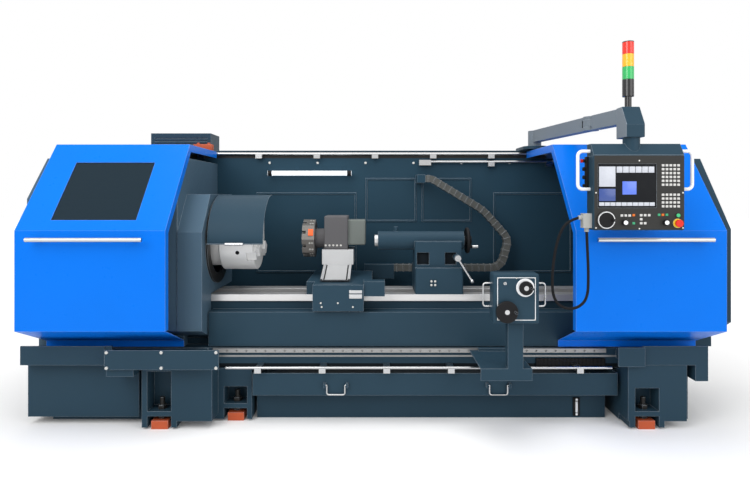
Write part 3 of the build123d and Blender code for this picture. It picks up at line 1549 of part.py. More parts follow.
nodes = {
    "left_pedestal": left_pedestal,
    "right_pedestal": right_pedestal,
    "levelling_jacks": levelling_jacks,
    "bed": bed,
    "headstock": headstock,
    "headstock_cover": headstock_cover,
    "headstock_guard": headstock_guard,
    "spindle_bearings": spindle_bearings,
    "main_motor": main_motor,
    "drive_belt": drive_belt,
    "front_sills": front_sills,
    "cart_rail": cart_rail,
    "door_rods": door_rods,
    "rear_wall": rear_wall,
    "work_light": work_light,
    "electrical_cabinet": electrical_cabinet,
    "right_end_cover": right_end_cover,
    "cable_chain": cable_chain,
    "arm_bracket": arm_bracket_plate,
    "coolant_tank": coolant_tank,
    "spindle": spindle,
    "chuck_body": chuck_body,
    "motor_pulley": motor_pulley,
    "chuck_guard": chuck_guard,
    "z_screw": z_screw,
    "saddle": saddle,
    "cross_slide": cross_slide,
    "way_cover": way_cover,
    "turret_housing": turret_housing,
    "turret_disc": turret_disc,
    "tailstock": tailstock,
    "clamp_lever": clamp_lever,
    "quill": quill,
    "quill_handwheel": quill_handwheel,
    "left_door": left_door,
    "left_window": left_window,
    "left_handle": left_handle,
    "right_door": right_door,
    "right_handle": right_handle,
    "cart": cart,
    "station_box": station_box,
    "large_feed_wheel": lambda: feed_wheel(0),
    "small_feed_wheel": lambda: feed_wheel(1),
    "arm_rear": arm_rear,
    "arm_front": arm_front,
    "signal_beacon": signal_beacon,
    "panel_case": panel_case,
    "panel_screen": panel_screen,
    "jog_wheel": jog_wheel,
    "speed_knob": lambda: turning_control(knob_x[0], knob_z, knob_r, knob_depth, panel_front_y),
    "feed_knob": lambda: turning_control(knob_x[1], knob_z, knob_r, knob_depth, panel_front_y),
    "start_button": start_button,
    "stop_button": stop_button,
    "panel_conduit": panel_conduit,
    "chip_tray": chip_tray,
    "left_bail": lambda: bail(0),
    "right_bail": lambda: bail(1),
}
for i in range(jaw_count):
    nodes[f"chuck_jaw_{i + 1}"] = lambda index=i: chuck_jaw(index)

os.makedirs("parts", exist_ok=True)
for name, make in nodes.items():
    export_step(make(), f"parts/{name}.step")
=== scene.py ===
import math

import bmesh
import bpy
from mathutils import Matrix, Vector


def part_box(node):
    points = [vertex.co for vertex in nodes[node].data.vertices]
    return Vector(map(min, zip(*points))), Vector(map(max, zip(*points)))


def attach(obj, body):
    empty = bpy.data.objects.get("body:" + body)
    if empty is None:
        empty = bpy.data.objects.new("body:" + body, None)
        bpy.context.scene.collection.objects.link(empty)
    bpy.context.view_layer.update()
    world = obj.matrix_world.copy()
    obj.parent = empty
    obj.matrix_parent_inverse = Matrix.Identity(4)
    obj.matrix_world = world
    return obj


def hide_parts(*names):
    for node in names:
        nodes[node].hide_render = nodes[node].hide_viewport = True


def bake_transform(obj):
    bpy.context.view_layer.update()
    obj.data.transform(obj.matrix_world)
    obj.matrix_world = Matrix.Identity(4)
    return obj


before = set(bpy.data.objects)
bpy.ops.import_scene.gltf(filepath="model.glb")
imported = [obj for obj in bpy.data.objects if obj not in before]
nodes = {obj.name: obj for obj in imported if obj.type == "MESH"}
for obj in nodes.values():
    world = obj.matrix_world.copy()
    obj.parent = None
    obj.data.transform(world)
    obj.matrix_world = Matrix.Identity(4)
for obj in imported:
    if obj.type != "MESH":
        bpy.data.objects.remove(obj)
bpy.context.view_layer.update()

# Lengths are in metres in the part's own frame: X to the tailstock, Y to the rear, Z up from the floor.

# Looks: colour, roughness, metal share, colour variation, bump height, grain per metre
DARK_PAINT = ((0.021, 0.047, 0.070), 0.42, 0.0, 0.10, 0.00025, 900.0)
WALL_PAINT = ((0.018, 0.048, 0.074), 0.46, 0.0, 0.12, 0.00020, 900.0)
TURRET_PAINT = ((0.105, 0.103, 0.108), 0.48, 0.0, 0.10, 0.00025, 700.0)
PANEL_FACE = ((0.034, 0.034, 0.033), 0.50, 0.0, 0.06, 0.00015, 1400.0)
DOOR_BLUE = ((0.001, 0.150, 0.690), 0.30, 0.0, 0.05, 0.00012, 1100.0)
BLACK_PLASTIC = ((0.012, 0.012, 0.013), 0.50, 0.0, 0.15, 0.00020, 1500.0)
BLACK_RUBBER = ((0.010, 0.010, 0.011), 0.72, 0.0, 0.20, 0.00030, 800.0)
BLACK_STEEL = ((0.030, 0.029, 0.028), 0.38, 0.6, 0.20, 0.00010, 500.0)
GROUND_STEEL = ((0.600, 0.595, 0.590), 0.30, 0.60, 0.06, 0.00004, 240.0)
CHUCK_STEEL = ((0.660, 0.660, 0.655), 0.36, 0.30, 0.06, 0.00005, 320.0)
COVER_STEEL = ((0.500, 0.505, 0.510), 0.38, 0.50, 0.05, 0.00004, 260.0)
HANDLE_STEEL = ((0.470, 0.475, 0.480), 0.28, 1.0, 0.05, 0.00003, 400.0)
ZINC = ((0.520, 0.515, 0.490), 0.40, 0.9, 0.15, 0.00015, 300.0)
ORANGE_PAINT = ((0.460, 0.095, 0.040), 0.55, 0.0, 0.22, 0.00060, 220.0)
ORANGE_PLASTIC = ((0.880, 0.150, 0.050), 0.42, 0.0, 0.05, 0.00010, 600.0)
WHITE_PAINT = ((0.800, 0.810, 0.830), 0.32, 0.0, 0.04, 0.00010, 700.0)
KEY_WHITE = ((0.560, 0.555, 0.540), 0.45, 0.0, 0.06, 0.00008, 1500.0)
KEY_GREEN = ((0.060, 0.330, 0.170), 0.40, 0.0, 0.06, 0.00008, 1500.0)
KEY_ORANGE = ((0.620, 0.150, 0.030), 0.40, 0.0, 0.06, 0.00008, 1500.0)
STOP_RED = ((0.640, 0.020, 0.012), 0.28, 0.0, 0.05, 0.00005, 900.0)
STOP_YELLOW = ((0.860, 0.560, 0.020), 0.36, 0.0, 0.05, 0.00005, 900.0)
START_GREEN = ((0.030, 0.420, 0.160), 0.30, 0.0, 0.05, 0.00005, 900.0)
# Lighter blue-grey: painted light that lifts the shaded headstock cover and nose above the dark paint
COVER_PAINTED_LIGHT = ((0.060, 0.105, 0.148), 0.42, 0.0, 0.10, 0.00025, 900.0)
# Lighter grey for the arm: painted light standing in for the side light on the arm, which is really the dark
# paint
ARM_PAINTED_LIGHT = ((0.165, 0.195, 0.225), 0.42, 0.0, 0.10, 0.00025, 900.0)
MOTOR_BLOCK_PAINT = ((0.150, 0.168, 0.158), 0.48, 0.0, 0.10, 0.00025, 700.0)
TURRET_STEEL = ((0.150, 0.140, 0.130), 0.40, 0.6, 0.25, 0.00010, 500.0)
CHAIN_PLASTIC = ((0.095, 0.098, 0.092), 0.60, 0.0, 0.35, 0.00040, 160.0)
GLAND_PLATE = ((0.360, 0.360, 0.340), 0.50, 0.0, 0.10, 0.00010, 700.0)
RAIL_STEEL = ((0.300, 0.300, 0.298), 0.34, 0.60, 0.08, 0.00004, 240.0)
# Near-black: painted shade for recesses and gaps
RECESS_PAINTED_SHADE = ((0.006, 0.009, 0.012), 0.70, 0.0, 0.10, 0.00010, 700.0)
MOTOR_PAINT = ((0.060, 0.065, 0.070), 0.52, 0.0, 0.15, 0.00040, 500.0)

EDGE_RADIUS = 0.0035
EDGE_SAMPLES = 6
# Share of pale edge colour: partly rubbed paint, partly painted highlight on the edges
EDGE_WEAR_AND_HIGHLIGHT_SHARE = 0.42
VARIATION_SCALE = 2.4
SMEAR_SCALE = 38.0
PAINT_SPECULAR = 0.09


def connect(tree, socket, value):
    if isinstance(value, bpy.types.NodeSocket):
        tree.links.new(value, socket)
    else:
        socket.default_value = value


def shader(tree, kind, inputs=None, **settings):
    """A shader node with its settings and inputs, each a value or another node's socket."""
    made = tree.nodes.new(kind)
    for key, value in settings.items():
        setattr(made, key, value)
    for key, value in (inputs or {}).items():
        connect(tree, made.inputs[key], value)
    return made


def maths(tree, operation, a, b=0.0):
    return shader(tree, "ShaderNodeMath", {0: a, 1: b}, operation=operation).outputs[0]


def mix_colour(tree, factor, a, b, blend="MIX"):
    made = shader(tree, "ShaderNodeMix", {0: factor, 6: a, 7: b}, data_type="RGBA", blend_type=blend)
    return made.outputs[2]


def mix_number(tree, factor, a, b):
    return shader(tree, "ShaderNodeMix", {0: factor, 2: a, 3: b}, data_type="FLOAT").outputs[0]


def opaque(colour):
    return (*colour, 1.0)


def object_point(tree):
    return shader(tree, "ShaderNodeTexCoord").outputs["Object"]


def axis_value(tree, axis):
    split = shader(tree, "ShaderNodeSeparateXYZ", {0: object_point(tree)})
    return split.outputs["XYZ".index(axis)]


def between(axis, low=None, high=None):
    """A mask that is 1 where the point's place along axis is from low to high."""
    def mask(tree):
        value = axis_value(tree, axis)
        sides = []
        if low is not None:
            sides.append(maths(tree, "GREATER_THAN", value, low))
        if high is not None:
            sides.append(maths(tree, "LESS_THAN", value, high))
        return sides[0] if len(sides) == 1 else maths(tree, "MULTIPLY", *sides)
    return mask


def outside(axis, low, high):
    def mask(tree):
        return maths(tree, "SUBTRACT", 1.0, between(axis, low, high)(tree))
    return mask


def both(*masks):
    def mask(tree):
        value = masks[0](tree)
        for other in masks[1:]:
            value = maths(tree, "MULTIPLY", value, other(tree))
        return value
    return mask


def ring(x, z, inner, outer):
    """A mask round an axis along Y, from one radius to another."""
    def mask(tree):
        dx = maths(tree, "SUBTRACT", axis_value(tree, "X"), x)
        dz = maths(tree, "SUBTRACT", axis_value(tree, "Z"), z)
        square = maths(tree, "ADD", maths(tree, "MULTIPLY", dx, dx), maths(tree, "MULTIPLY", dz, dz))
        far = maths(tree, "GREATER_THAN", square, inner * inner)
        return maths(tree, "MULTIPLY", far, maths(tree, "LESS_THAN", square, outer * outer))
    return mask


def noise(tree, scale, detail=3.0, stretch=None):
    point = object_point(tree)
    if stretch:
        point = shader(tree, "ShaderNodeMapping", {"Vector": point, "Scale": stretch}).outputs[0]
    return shader(tree, "ShaderNodeTexNoise", {"Vector": point, "Scale": scale, "Detail": detail}).outputs[0]


def edge_mask(tree):
    """1 along the outer edges: rubbed paint, and a painted highlight where the edges would catch the light.
    """
    soft = shader(tree, "ShaderNodeBevel", {"Radius": EDGE_RADIUS}, samples=EDGE_SAMPLES).outputs[0]
    hard = shader(tree, "ShaderNodeNewGeometry").outputs["Normal"]
    dot = shader(tree, "ShaderNodeVectorMath", {0: soft, 1: hard}, operation="DOT_PRODUCT").outputs["Value"]
    spread = shader(tree, "ShaderNodeMapRange", {"Value": dot, "From Min": 0.99, "From Max": 0.80})
    return spread.outputs[0], soft


def coat(name, look, zones=(), stretch=None, edges=True, coat_weight=0.0):
    """A material from a look, with other looks in the zones that masks pick out."""
    material = bpy.data.materials.new(name)
    material.use_nodes = True
    tree = material.node_tree
    surface = tree.nodes["Principled BSDF"]
    colour, rough, metal, variation, relief, grain = look
    colour = opaque(colour)
    zone_metal = metal
    rough_value = rough
    for mask, zone in zones:
        chosen = mask(tree)
        colour = mix_colour(tree, chosen, colour, opaque(zone[0]))
        rough_value = mix_number(tree, chosen, rough_value, zone[1])
        zone_metal = mix_number(tree, chosen, zone_metal, zone[2])
    patches = noise(tree, VARIATION_SCALE)
    limits = {"Value": patches, "To Min": 1.0 - variation, "To Max": 1.0 + variation}
    shade = shader(tree, "ShaderNodeMapRange", limits)
    colour = mix_colour(tree, 1.0, colour, shade.outputs[0], "MULTIPLY")
    grains = noise(tree, grain, 2.0, stretch)
    bump = shader(tree, "ShaderNodeBump", {"Strength": 0.35, "Distance": relief, "Height": grains})
    if edges:
        rubbed_and_highlit, soft = edge_mask(tree)
        glow = maths(tree, "MULTIPLY", rubbed_and_highlit, EDGE_WEAR_AND_HIGHLIGHT_SHARE)
        # Edges are lightened towards pale blue-grey: partly rubbed paint, partly painted highlight
        colour = mix_colour(tree, glow, colour, (0.62, 0.70, 0.78, 1.0))
        connect(tree, bump.inputs["Normal"], soft)
    smear = noise(tree, SMEAR_SCALE, 4.0, stretch)
    spread = shader(tree, "ShaderNodeMapRange", {"Value": smear, "To Min": -0.07, "To Max": 0.07})
    connect(tree, surface.inputs["Base Color"], colour)
    connect(tree, surface.inputs["Roughness"], maths(tree, "ADD", rough_value, spread.outputs[0]))
    connect(tree, surface.inputs["Metallic"], zone_metal)
    connect(tree, surface.inputs["Normal"], bump.outputs[0])
    surface.inputs["Specular IOR Level"].default_value = PAINT_SPECULAR
    surface.inputs["Coat Weight"].default_value = coat_weight
    return material


def glass(name, colour, rough, alpha):
    material = bpy.data.materials.new(name)
    material.use_nodes = True
    tree = material.node_tree
    surface = tree.nodes["Principled BSDF"]
    surface.inputs["Base Color"].default_value = opaque(colour)
    surface.inputs["Alpha"].default_value = alpha
    surface.inputs["Specular IOR Level"].default_value = PAINT_SPECULAR
    smear = noise(tree, SMEAR_SCALE, 4.0)
    spread = shader(tree, "ShaderNodeMapRange", {"Value": smear, "To Min": rough / 2, "To Max": rough * 2})
    connect(tree, surface.inputs["Roughness"], spread.outputs[0])
    return material


def lit(name, colour, strength, rough):
    """A picture block or lens that gives off a little light of its own."""
    material = bpy.data.materials.new(name)
    material.use_nodes = True
    tree = material.node_tree
    surface = tree.nodes["Principled BSDF"]
    patches = noise(tree, VARIATION_SCALE * SMEAR_SCALE)
    shade = shader(tree, "ShaderNodeMapRange", {"Value": patches, "To Min": 0.92, "To Max": 1.08})
    shaded = mix_colour(tree, 1.0, opaque(colour), shade.outputs[0], "MULTIPLY")
    connect(tree, surface.inputs["Base Color"], shaded)
    surface.inputs["Roughness"].default_value = rough
    surface.inputs["Emission Color"].default_value = opaque(colour)
    surface.inputs["Emission Strength"].default_value = strength
    return material


class Shape:
    """Builds one piece out of several solids, in the part's frame."""

    def __init__(self):
        self.mesh = bmesh.new()

    def box(self, low, high):
        low, high = Vector(low), Vector(high)
        made = bmesh.ops.create_cube(self.mesh, size=1.0)["verts"]
        bmesh.ops.scale(self.mesh, vec=high - low, verts=made)
        bmesh.ops.translate(self.mesh, vec=(low + high) / 2, verts=made)

    def rod(self, start, end, radius, sides=28, end_radius=None):
        start, end = Vector(start), Vector(end)
        turn = Vector((0, 0, 1)).rotation_difference(end - start).to_matrix().to_4x4()
        far_radius = radius if end_radius is None else end_radius
        bmesh.ops.create_cone(self.mesh, cap_ends=True, segments=sides, radius1=radius, radius2=far_radius,
                              depth=(end - start).length, matrix=Matrix.Translation((start + end) / 2) @ turn)

    def ring(self, x, y_front, y_back, z, inner, outer, sides=48):
        """A flat ring round an axis along Y."""
        circles = []
        for radius, y in ((inner, y_back), (outer, y_back), (outer, y_front), (inner, y_front)):
            circle = []
            for i in range(sides):
                angle = math.tau * i / sides
                place = (x + radius * math.cos(angle), y, z + radius * math.sin(angle))
                circle.append(self.mesh.verts.new(place))
            circles.append(circle)
        for a, b in zip(circles, circles[1:] + circles[:1]):
            for i in range(sides):
                j = (i + 1) % sides
                self.mesh.faces.new((a[i], a[j], b[j], b[i]))

    def piece(self, name, material, body, bevel=0.0, steps=2):
        bmesh.ops.recalc_face_normals(self.mesh, faces=self.mesh.faces)
        if bevel:
            sharp = [e for e in self.mesh.edges if e.is_manifold and e.calc_face_angle() > math.radians(40)]
            bmesh.ops.bevel(self.mesh, geom=sharp, offset=bevel, segments=steps, affect="EDGES", profile=0.5)
        data = bpy.data.meshes.new(name)
        self.mesh.to_mesh(data)
        self.mesh.free()
        data.shade_smooth()
        data.set_sharp_from_angle(angle=math.radians(35))
        data.materials.append(material)
        made = bpy.data.objects.new(name, data)
        bpy.context.scene.collection.objects.link(made)
        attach(made, body)
        return made


def dress(material, *names):
    for name in names:
        for place in nodes[name].material_slots:
            place.material = material


# Finishes of the solids

WAY_LOW_Z = 0.7215
JACK_BLOCK_TOP = 0.0502
PANEL_X = (1.1625, 1.6505)
PANEL_FACE_Y = -0.8585
STOP_AT = (1.610, 1.253)
STOP_RING_R = 0.0245
STATION_X = (0.6465, 0.8995)
JOG_AT = (1.226, 1.270)
JOG_R = 0.046
JOG_RIM = (JOG_R * 0.88, JOG_R * 1.1)
KNOB_AT = ((1.326, 1.257), (1.544, 1.257))
WHEELS_AT = ((0.717, 0.767), (0.821, 0.897))
HUB_R = 0.013
KNOB_FACE_R = 0.0115
NOSE_X = -1.0515
ARM_HEAD_X = (1.3430, 1.4390)
ARM_HEAD_Y = -0.740
GRIP_Y = -0.4165
SILL_BOLT_Y = -0.5865
TROUGH_Y = (-0.345, -0.330)
TROUGH_SHADE_TOP_Z = 0.352
TROUGH_BAR_Z = (0.392, 0.403)
RECESS_X = ((0.2724, 0.3527), (0.4547, 0.5288))
RECESS_Z = (0.950, 1.030)
RECESS_Y = -0.1990
# Height of the black band round the top rod: painted shade of the rod on the beam
ROD_SHADE_BAND_Z = (1.685, 1.735)
BEAM_FRONT_Y = 0.437
BEAM_BOLT_Z = (1.638, 1.659)
BEAM_BOLT_Y = 0.4345
COVER_STRIPS_X = ((-0.332, -0.323), (-0.187, -0.178))
COVER_FRONT_Y = -0.255
MOTOR_BLOCK_X = -0.1865
CRANK_LENGTH = 0.036
HANDLE_Z = (1.420, 1.660)
BEACON_Z = (2.036, 2.106, 2.175, 2.240)

dark_paint = coat("dark_paint", DARK_PAINT)
door_blue = coat("door_blue", DOOR_BLUE)
black_plastic = coat("black_plastic", BLACK_PLASTIC, edges=False)
black_rubber = coat("black_rubber", BLACK_RUBBER, edges=False)
black_steel = coat("black_steel", BLACK_STEEL)
along_x = (0.02, 1.0, 1.0)
along_y = (1.0, 0.02, 1.0)
ground_steel = coat("ground_steel", GROUND_STEEL, stretch=along_x, edges=False)
handle_steel = coat("handle_steel", HANDLE_STEEL, stretch=along_x, edges=False)
chuck_steel = coat("chuck_steel", CHUCK_STEEL, stretch=along_x)
cover_steel = coat("cover_steel", COVER_STEEL, stretch=along_y)
zinc = coat("zinc", ZINC, edges=False)
white_paint = coat("white_paint", WHITE_PAINT, edges=False)

dress(dark_paint, "left_pedestal", "right_pedestal", "headstock", "electrical_cabinet", "right_end_cover",
      "arm_bracket", "coolant_tank", "saddle", "cart", "chip_tray")
# The arm gets the lighter grey as painted light for the side light on its faces; the head's front keeps the
# dark paint
dress(coat("arm_painted_light", ARM_PAINTED_LIGHT), "arm_rear")
arm_head = both(between("X", *ARM_HEAD_X), between("Y", None, ARM_HEAD_Y))
dress(coat("arm_front_painted_light", ARM_PAINTED_LIGHT, [(arm_head, DARK_PAINT)]), "arm_front")
# Headstock cover and nose get the lighter paint as painted light, lifting the shade they lie in
dress(coat("cover_painted_light", COVER_PAINTED_LIGHT), "headstock_cover")
dress(coat("nose_painted_light", COVER_PAINTED_LIGHT, [(between("X", NOSE_X), BLACK_STEEL)]), "headstock_guard")
dress(coat("guard_paint", DARK_PAINT, [(between("Y", None, GRIP_Y), HANDLE_STEEL)]), "chuck_guard")
# The lower band of the trough is painted near-black as painted shade under its shoulder
dress(coat("sill_paint_with_painted_shade", DARK_PAINT, [
    (both(between("Y", *TROUGH_Y), between("Z", None, TROUGH_SHADE_TOP_Z)), RECESS_PAINTED_SHADE),
    (both(between("Y", *TROUGH_Y), between("Z", *TROUGH_BAR_Z)), RAIL_STEEL),
    (between("Y", None, SILL_BOLT_Y), ZINC),
]), "front_sills")
# The two recesses in the tailstock's front are painted near-black as painted shade
dress(coat("tailstock_paint_with_painted_shade", DARK_PAINT, [
    (both(between("X", *place), between("Z", *RECESS_Z), between("Y", RECESS_Y)), RECESS_PAINTED_SHADE)
    for place in RECESS_X
]), "tailstock")
# The beam band round the top rod is painted black as painted shade of the rod; the bolts there are zinc
dress(coat("rear_wall_paint_with_painted_shade", WALL_PAINT, [
    (both(between("Z", *ROD_SHADE_BAND_Z), between("Y", None, BEAM_FRONT_Y)), BLACK_STEEL),
    (both(between("Z", *BEAM_BOLT_Z), between("Y", None, BEAM_BOLT_Y)), ZINC),
]), "rear_wall")
dress(door_blue, "left_door", "right_door")
dress(handle_steel, "left_handle", "right_handle", "left_bail", "right_bail", "door_rods")
dress(ground_steel, "spindle", "spindle_bearings", "motor_pulley", "z_screw", "quill")
dress(coat("rail_steel", RAIL_STEEL, stretch=along_x, edges=False), "cart_rail")
dress(chuck_steel, "chuck_body", "chuck_jaw_1", "chuck_jaw_2", "chuck_jaw_3")
dress(cover_steel, "cross_slide")
strips = [(between("X", *place), BLACK_RUBBER) for place in COVER_STRIPS_X]
dress(coat("way_cover_steel", COVER_STEEL, strips + [(between("Y", None, COVER_FRONT_Y), BLACK_RUBBER)],
           stretch=along_y), "way_cover")
dress(coat("turret_steel", TURRET_STEEL), "turret_disc")
dress(handle_steel, "clamp_lever")
crank_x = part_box("quill_handwheel")[1].x - CRANK_LENGTH
dress(coat("handwheel_finish", BLACK_PLASTIC, [(between("X", crank_x), HANDLE_STEEL)], edges=False),
      "quill_handwheel")
dress(black_rubber, "drive_belt")
dress(coat("motor_paint", MOTOR_PAINT), "main_motor")
motor_block = between("X", MOTOR_BLOCK_X)
dress(coat("turret_paint", TURRET_PAINT, [(motor_block, MOTOR_BLOCK_PAINT)]), "turret_housing")
dress(coat("bed_iron", DARK_PAINT, [(between("Z", WAY_LOW_Z), GROUND_STEEL)], stretch=along_x), "bed")
jack_blocks = between("Z", None, JACK_BLOCK_TOP)
dress(coat("jack_finish", BLACK_STEEL, [(jack_blocks, ORANGE_PAINT)]), "levelling_jacks")
dress(coat("station_paint", DARK_PAINT, [(outside("X", *STATION_X), HANDLE_STEEL)]), "station_box")
dress(coat("panel_paint", DARK_PAINT, [
    (between("Y", None, PANEL_FACE_Y), PANEL_FACE),
    (outside("X", *PANEL_X), GLAND_PLATE),
    (both(outside("X", *PANEL_X), between("Z", *HANDLE_Z)), WHITE_PAINT),
    (both(between("Y", None, PANEL_FACE_Y), ring(*STOP_AT, 0.0, STOP_RING_R)), STOP_YELLOW),
]), "panel_case")
jog_rim = ring(*JOG_AT, *JOG_RIM)
dress(coat("jog_finish", BLACK_PLASTIC, [(jog_rim, HANDLE_STEEL)], edges=False), "jog_wheel")
for knob, at in zip(("speed_knob", "feed_knob"), KNOB_AT):
    face = ring(*at, 0.0, KNOB_FACE_R)
    dress(coat(knob + "_finish", BLACK_PLASTIC, [(face, WHITE_PAINT)], edges=False), knob)
for wheel, at in zip(("large_feed_wheel", "small_feed_wheel"), WHEELS_AT):
    dress(coat(wheel + "_finish", BLACK_PLASTIC, [(ring(*at, 0.0, HUB_R), HANDLE_STEEL)]), wheel)
dress(coat("start_finish", START_GREEN, edges=False, coat_weight=0.5), "start_button")
dress(coat("stop_finish", STOP_RED, edges=False, coat_weight=0.5), "stop_button")
dress(coat("beacon_finish", BLACK_PLASTIC, [
    (between("Z", BEACON_Z[0], BEACON_Z[1]), ((0.030, 0.420, 0.110), 0.16, 0.0)),
    (between("Z", BEACON_Z[1], BEACON_Z[2]), ((0.900, 0.420, 0.020), 0.16, 0.0)),
    (between("Z", BEACON_Z[2], BEACON_Z[3]), ((0.740, 0.030, 0.015), 0.16, 0.0)),
], edges=False, coat_weight=0.8), "signal_beacon")
dress(lit("lamp_tube", (0.90, 0.95, 1.0), 0.9, 0.35), "work_light")
dress(glass("window_glass", (0.014, 0.027, 0.038), 0.10, 0.80), "left_window")
dress(glass("screen_glass", (0.003, 0.004, 0.006), 0.15, 1.0), "panel_screen")

# Control panel face

PANEL_Y = -0.860
KEY_RISE = 0.0035
KEY_SIZE = (0.0140, 0.0125)
KEY_PITCH = 0.0206
KEY_EDGE = 0.0012
KEYPAD_X = 1.532
KEYPAD_COLUMNS = 5
UPPER_PAD = (1.458, 6)
LOWER_PAD = (1.343, 4)
SMALL_KEYS_X = 1.313
SMALL_KEYS_Z = 1.294
MODE_KEYS = ((1.4154, 1.2958), (1.4366, 1.2958), (1.4578, 1.2958), (1.4154, 1.2745), (1.4154, 1.2533),
             (1.4366, 1.2533))
GREEN_KEYS = ((1.511, 1.298), (1.552, 1.298), (1.376, 1.253))
ORANGE_KEYS = ((1.531, 1.298), (1.376, 1.296))


def keys(name, places, look):
    shape = Shape()
    half_x, half_z = KEY_SIZE[0] / 2, KEY_SIZE[1] / 2
    for x, z in places:
        shape.box((x - half_x, PANEL_Y - KEY_RISE, z - half_z), (x + half_x, PANEL_Y, z + half_z))
    return shape.piece(name, coat(name + "_finish", look, edges=False), "panel", KEY_EDGE)


pad_places = []
for low_z, rows in (UPPER_PAD, LOWER_PAD):
    for row in range(rows):
        for column in range(KEYPAD_COLUMNS):
            pad_places.append((KEYPAD_X + KEY_PITCH * column, low_z + KEY_PITCH * row))
for column in range(3):
    pad_places.append((SMALL_KEYS_X + KEY_PITCH * column, SMALL_KEYS_Z))
keys("panel_keys", pad_places + list(MODE_KEYS), KEY_WHITE)
keys("panel_green_keys", GREEN_KEYS, KEY_GREEN)
keys("panel_orange_keys", ORANGE_KEYS, KEY_ORANGE)

# A plain picture on the screen: light blocks round a black field with one blue square

SCREEN_RISE = 0.0006
screen_low, screen_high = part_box("panel_screen")
TOP_CELLS = tuple((0.32 + 0.109 * i, 0.42 + 0.109 * i, 0.80, 0.94) for i in range(6))
LOW_CELLS = tuple((0.02 + 0.096 * i, 0.108 + 0.096 * i, 0.04, 0.12) for i in range(10))
SCREEN_BLOCKS = {
    "screen_light": ((0.46, 0.48, 0.53), 0.12, ((0.02, 0.30, 0.48, 0.94), *TOP_CELLS, *LOW_CELLS)),
    "screen_navy": ((0.030, 0.062, 0.230), 0.15, ((0.02, 0.30, 0.15, 0.43),)),
    "screen_blue": ((0.080, 0.150, 0.600), 0.25, ((0.42, 0.66, 0.30, 0.60),)),
}
for name, (colour, strength, blocks) in SCREEN_BLOCKS.items():
    shape = Shape()
    wide = screen_high.x - screen_low.x
    tall = screen_high.z - screen_low.z
    for x0, x1, z0, z1 in blocks:
        shape.box((screen_low.x + wide * x0, screen_low.y - SCREEN_RISE, screen_low.z + tall * z0),
                  (screen_low.x + wide * x1, screen_low.y, screen_low.z + tall * z1))
    shape.piece(name, lit(name + "_glow", colour, strength, 0.25), "panel", SCREEN_RISE / 4)

# Screws at the rim of the panel's face and the station's face, and the station's fittings

SCREW_R = 0.0042
SCREW_RISE = 0.0022
PANEL_SCREWS = ((1.175, 1.228), (1.406, 1.224), (1.638, 1.228), (1.175, 1.415), (1.638, 1.415),
                (1.406, 1.586))
STATION_Y = -0.780
STATION_SCREWS = ((0.672, 0.722), (0.874, 0.722), (0.672, 0.949), (0.874, 0.949), (0.773, 0.949))
STATION_FRAME = (0.668, 0.878, 0.718, 0.953)
FRAME_BAR = 0.0035
FRAME_RISE = 0.0015
DIAL_AT = (0.821, 0.897)
DIAL_R = (0.030, 0.050)
DIAL_RISE = 0.003
TOGGLE_AT = (0.710, 0.920)
TOGGLE = ((0.0085, 0.003), (0.0055, 0.008), (0.0028, 0.021))


def screws(name, places, y, body, radius=SCREW_R, rise=SCREW_RISE):
    shape = Shape()
    for x, z in places:
        shape.rod((x, y, z), (x, y - rise, z), radius)
    return shape.piece(name, zinc, body, rise / 4)


screws("panel_screws", PANEL_SCREWS, PANEL_Y, "panel")
screws("station_screws", STATION_SCREWS, STATION_Y, "cart")
shape = Shape()
x0, x1, z0, z1 = STATION_FRAME
for low_x, high_x, low_z, high_z in ((x0, x1, z0, z0 + FRAME_BAR), (x0, x1, z1 - FRAME_BAR, z1),
                                     (x0, x0 + FRAME_BAR, z0 + FRAME_BAR, z1 - FRAME_BAR),
                                     (x1 - FRAME_BAR, x1, z0 + FRAME_BAR, z1 - FRAME_BAR)):
    shape.box((low_x, STATION_Y - FRAME_RISE, low_z), (high_x, STATION_Y, high_z))
shape.piece("station_frame", white_paint, "cart")
shape = Shape()
shape.ring(DIAL_AT[0], STATION_Y - DIAL_RISE, STATION_Y, DIAL_AT[1], *DIAL_R)
shape.piece("station_dial", white_paint, "cart", DIAL_RISE / 5)
shape = Shape()
reach = STATION_Y
for radius, length in TOGGLE:
    shape.rod((TOGGLE_AT[0], reach, TOGGLE_AT[1]), (TOGGLE_AT[0], reach - length, TOGGLE_AT[1]), radius)
    reach -= length
shape.piece("station_toggle", handle_steel, "cart", 0.0006)

# Turret, tailstock and saddle fittings

TURRET_AT = (0.110, 1.100)
TURRET_SIDES = 8
TURRET_FLAT_R = 0.131 * math.cos(math.pi / TURRET_SIDES)
PLUG_X = (-0.458, -0.424)
PLUG_HALF = 0.024
PLUG_RISE = 0.007
TURRET_SCREW_R = 0.0065
TURRET_SCREW_RISE = 0.004
TURRET_SCREW_X = (-0.447, -0.430)


def turret_point(x, out, along, side):
    """A point on one flat of the turret's rim: out from its face, and along the face."""
    angle = math.pi * (2 * side + 1) / TURRET_SIDES
    y = TURRET_AT[0] + (TURRET_FLAT_R + out) * math.cos(angle) - along * math.sin(angle)
    z = TURRET_AT[1] + (TURRET_FLAT_R + out) * math.sin(angle) + along * math.cos(angle)
    return (x, y, z)


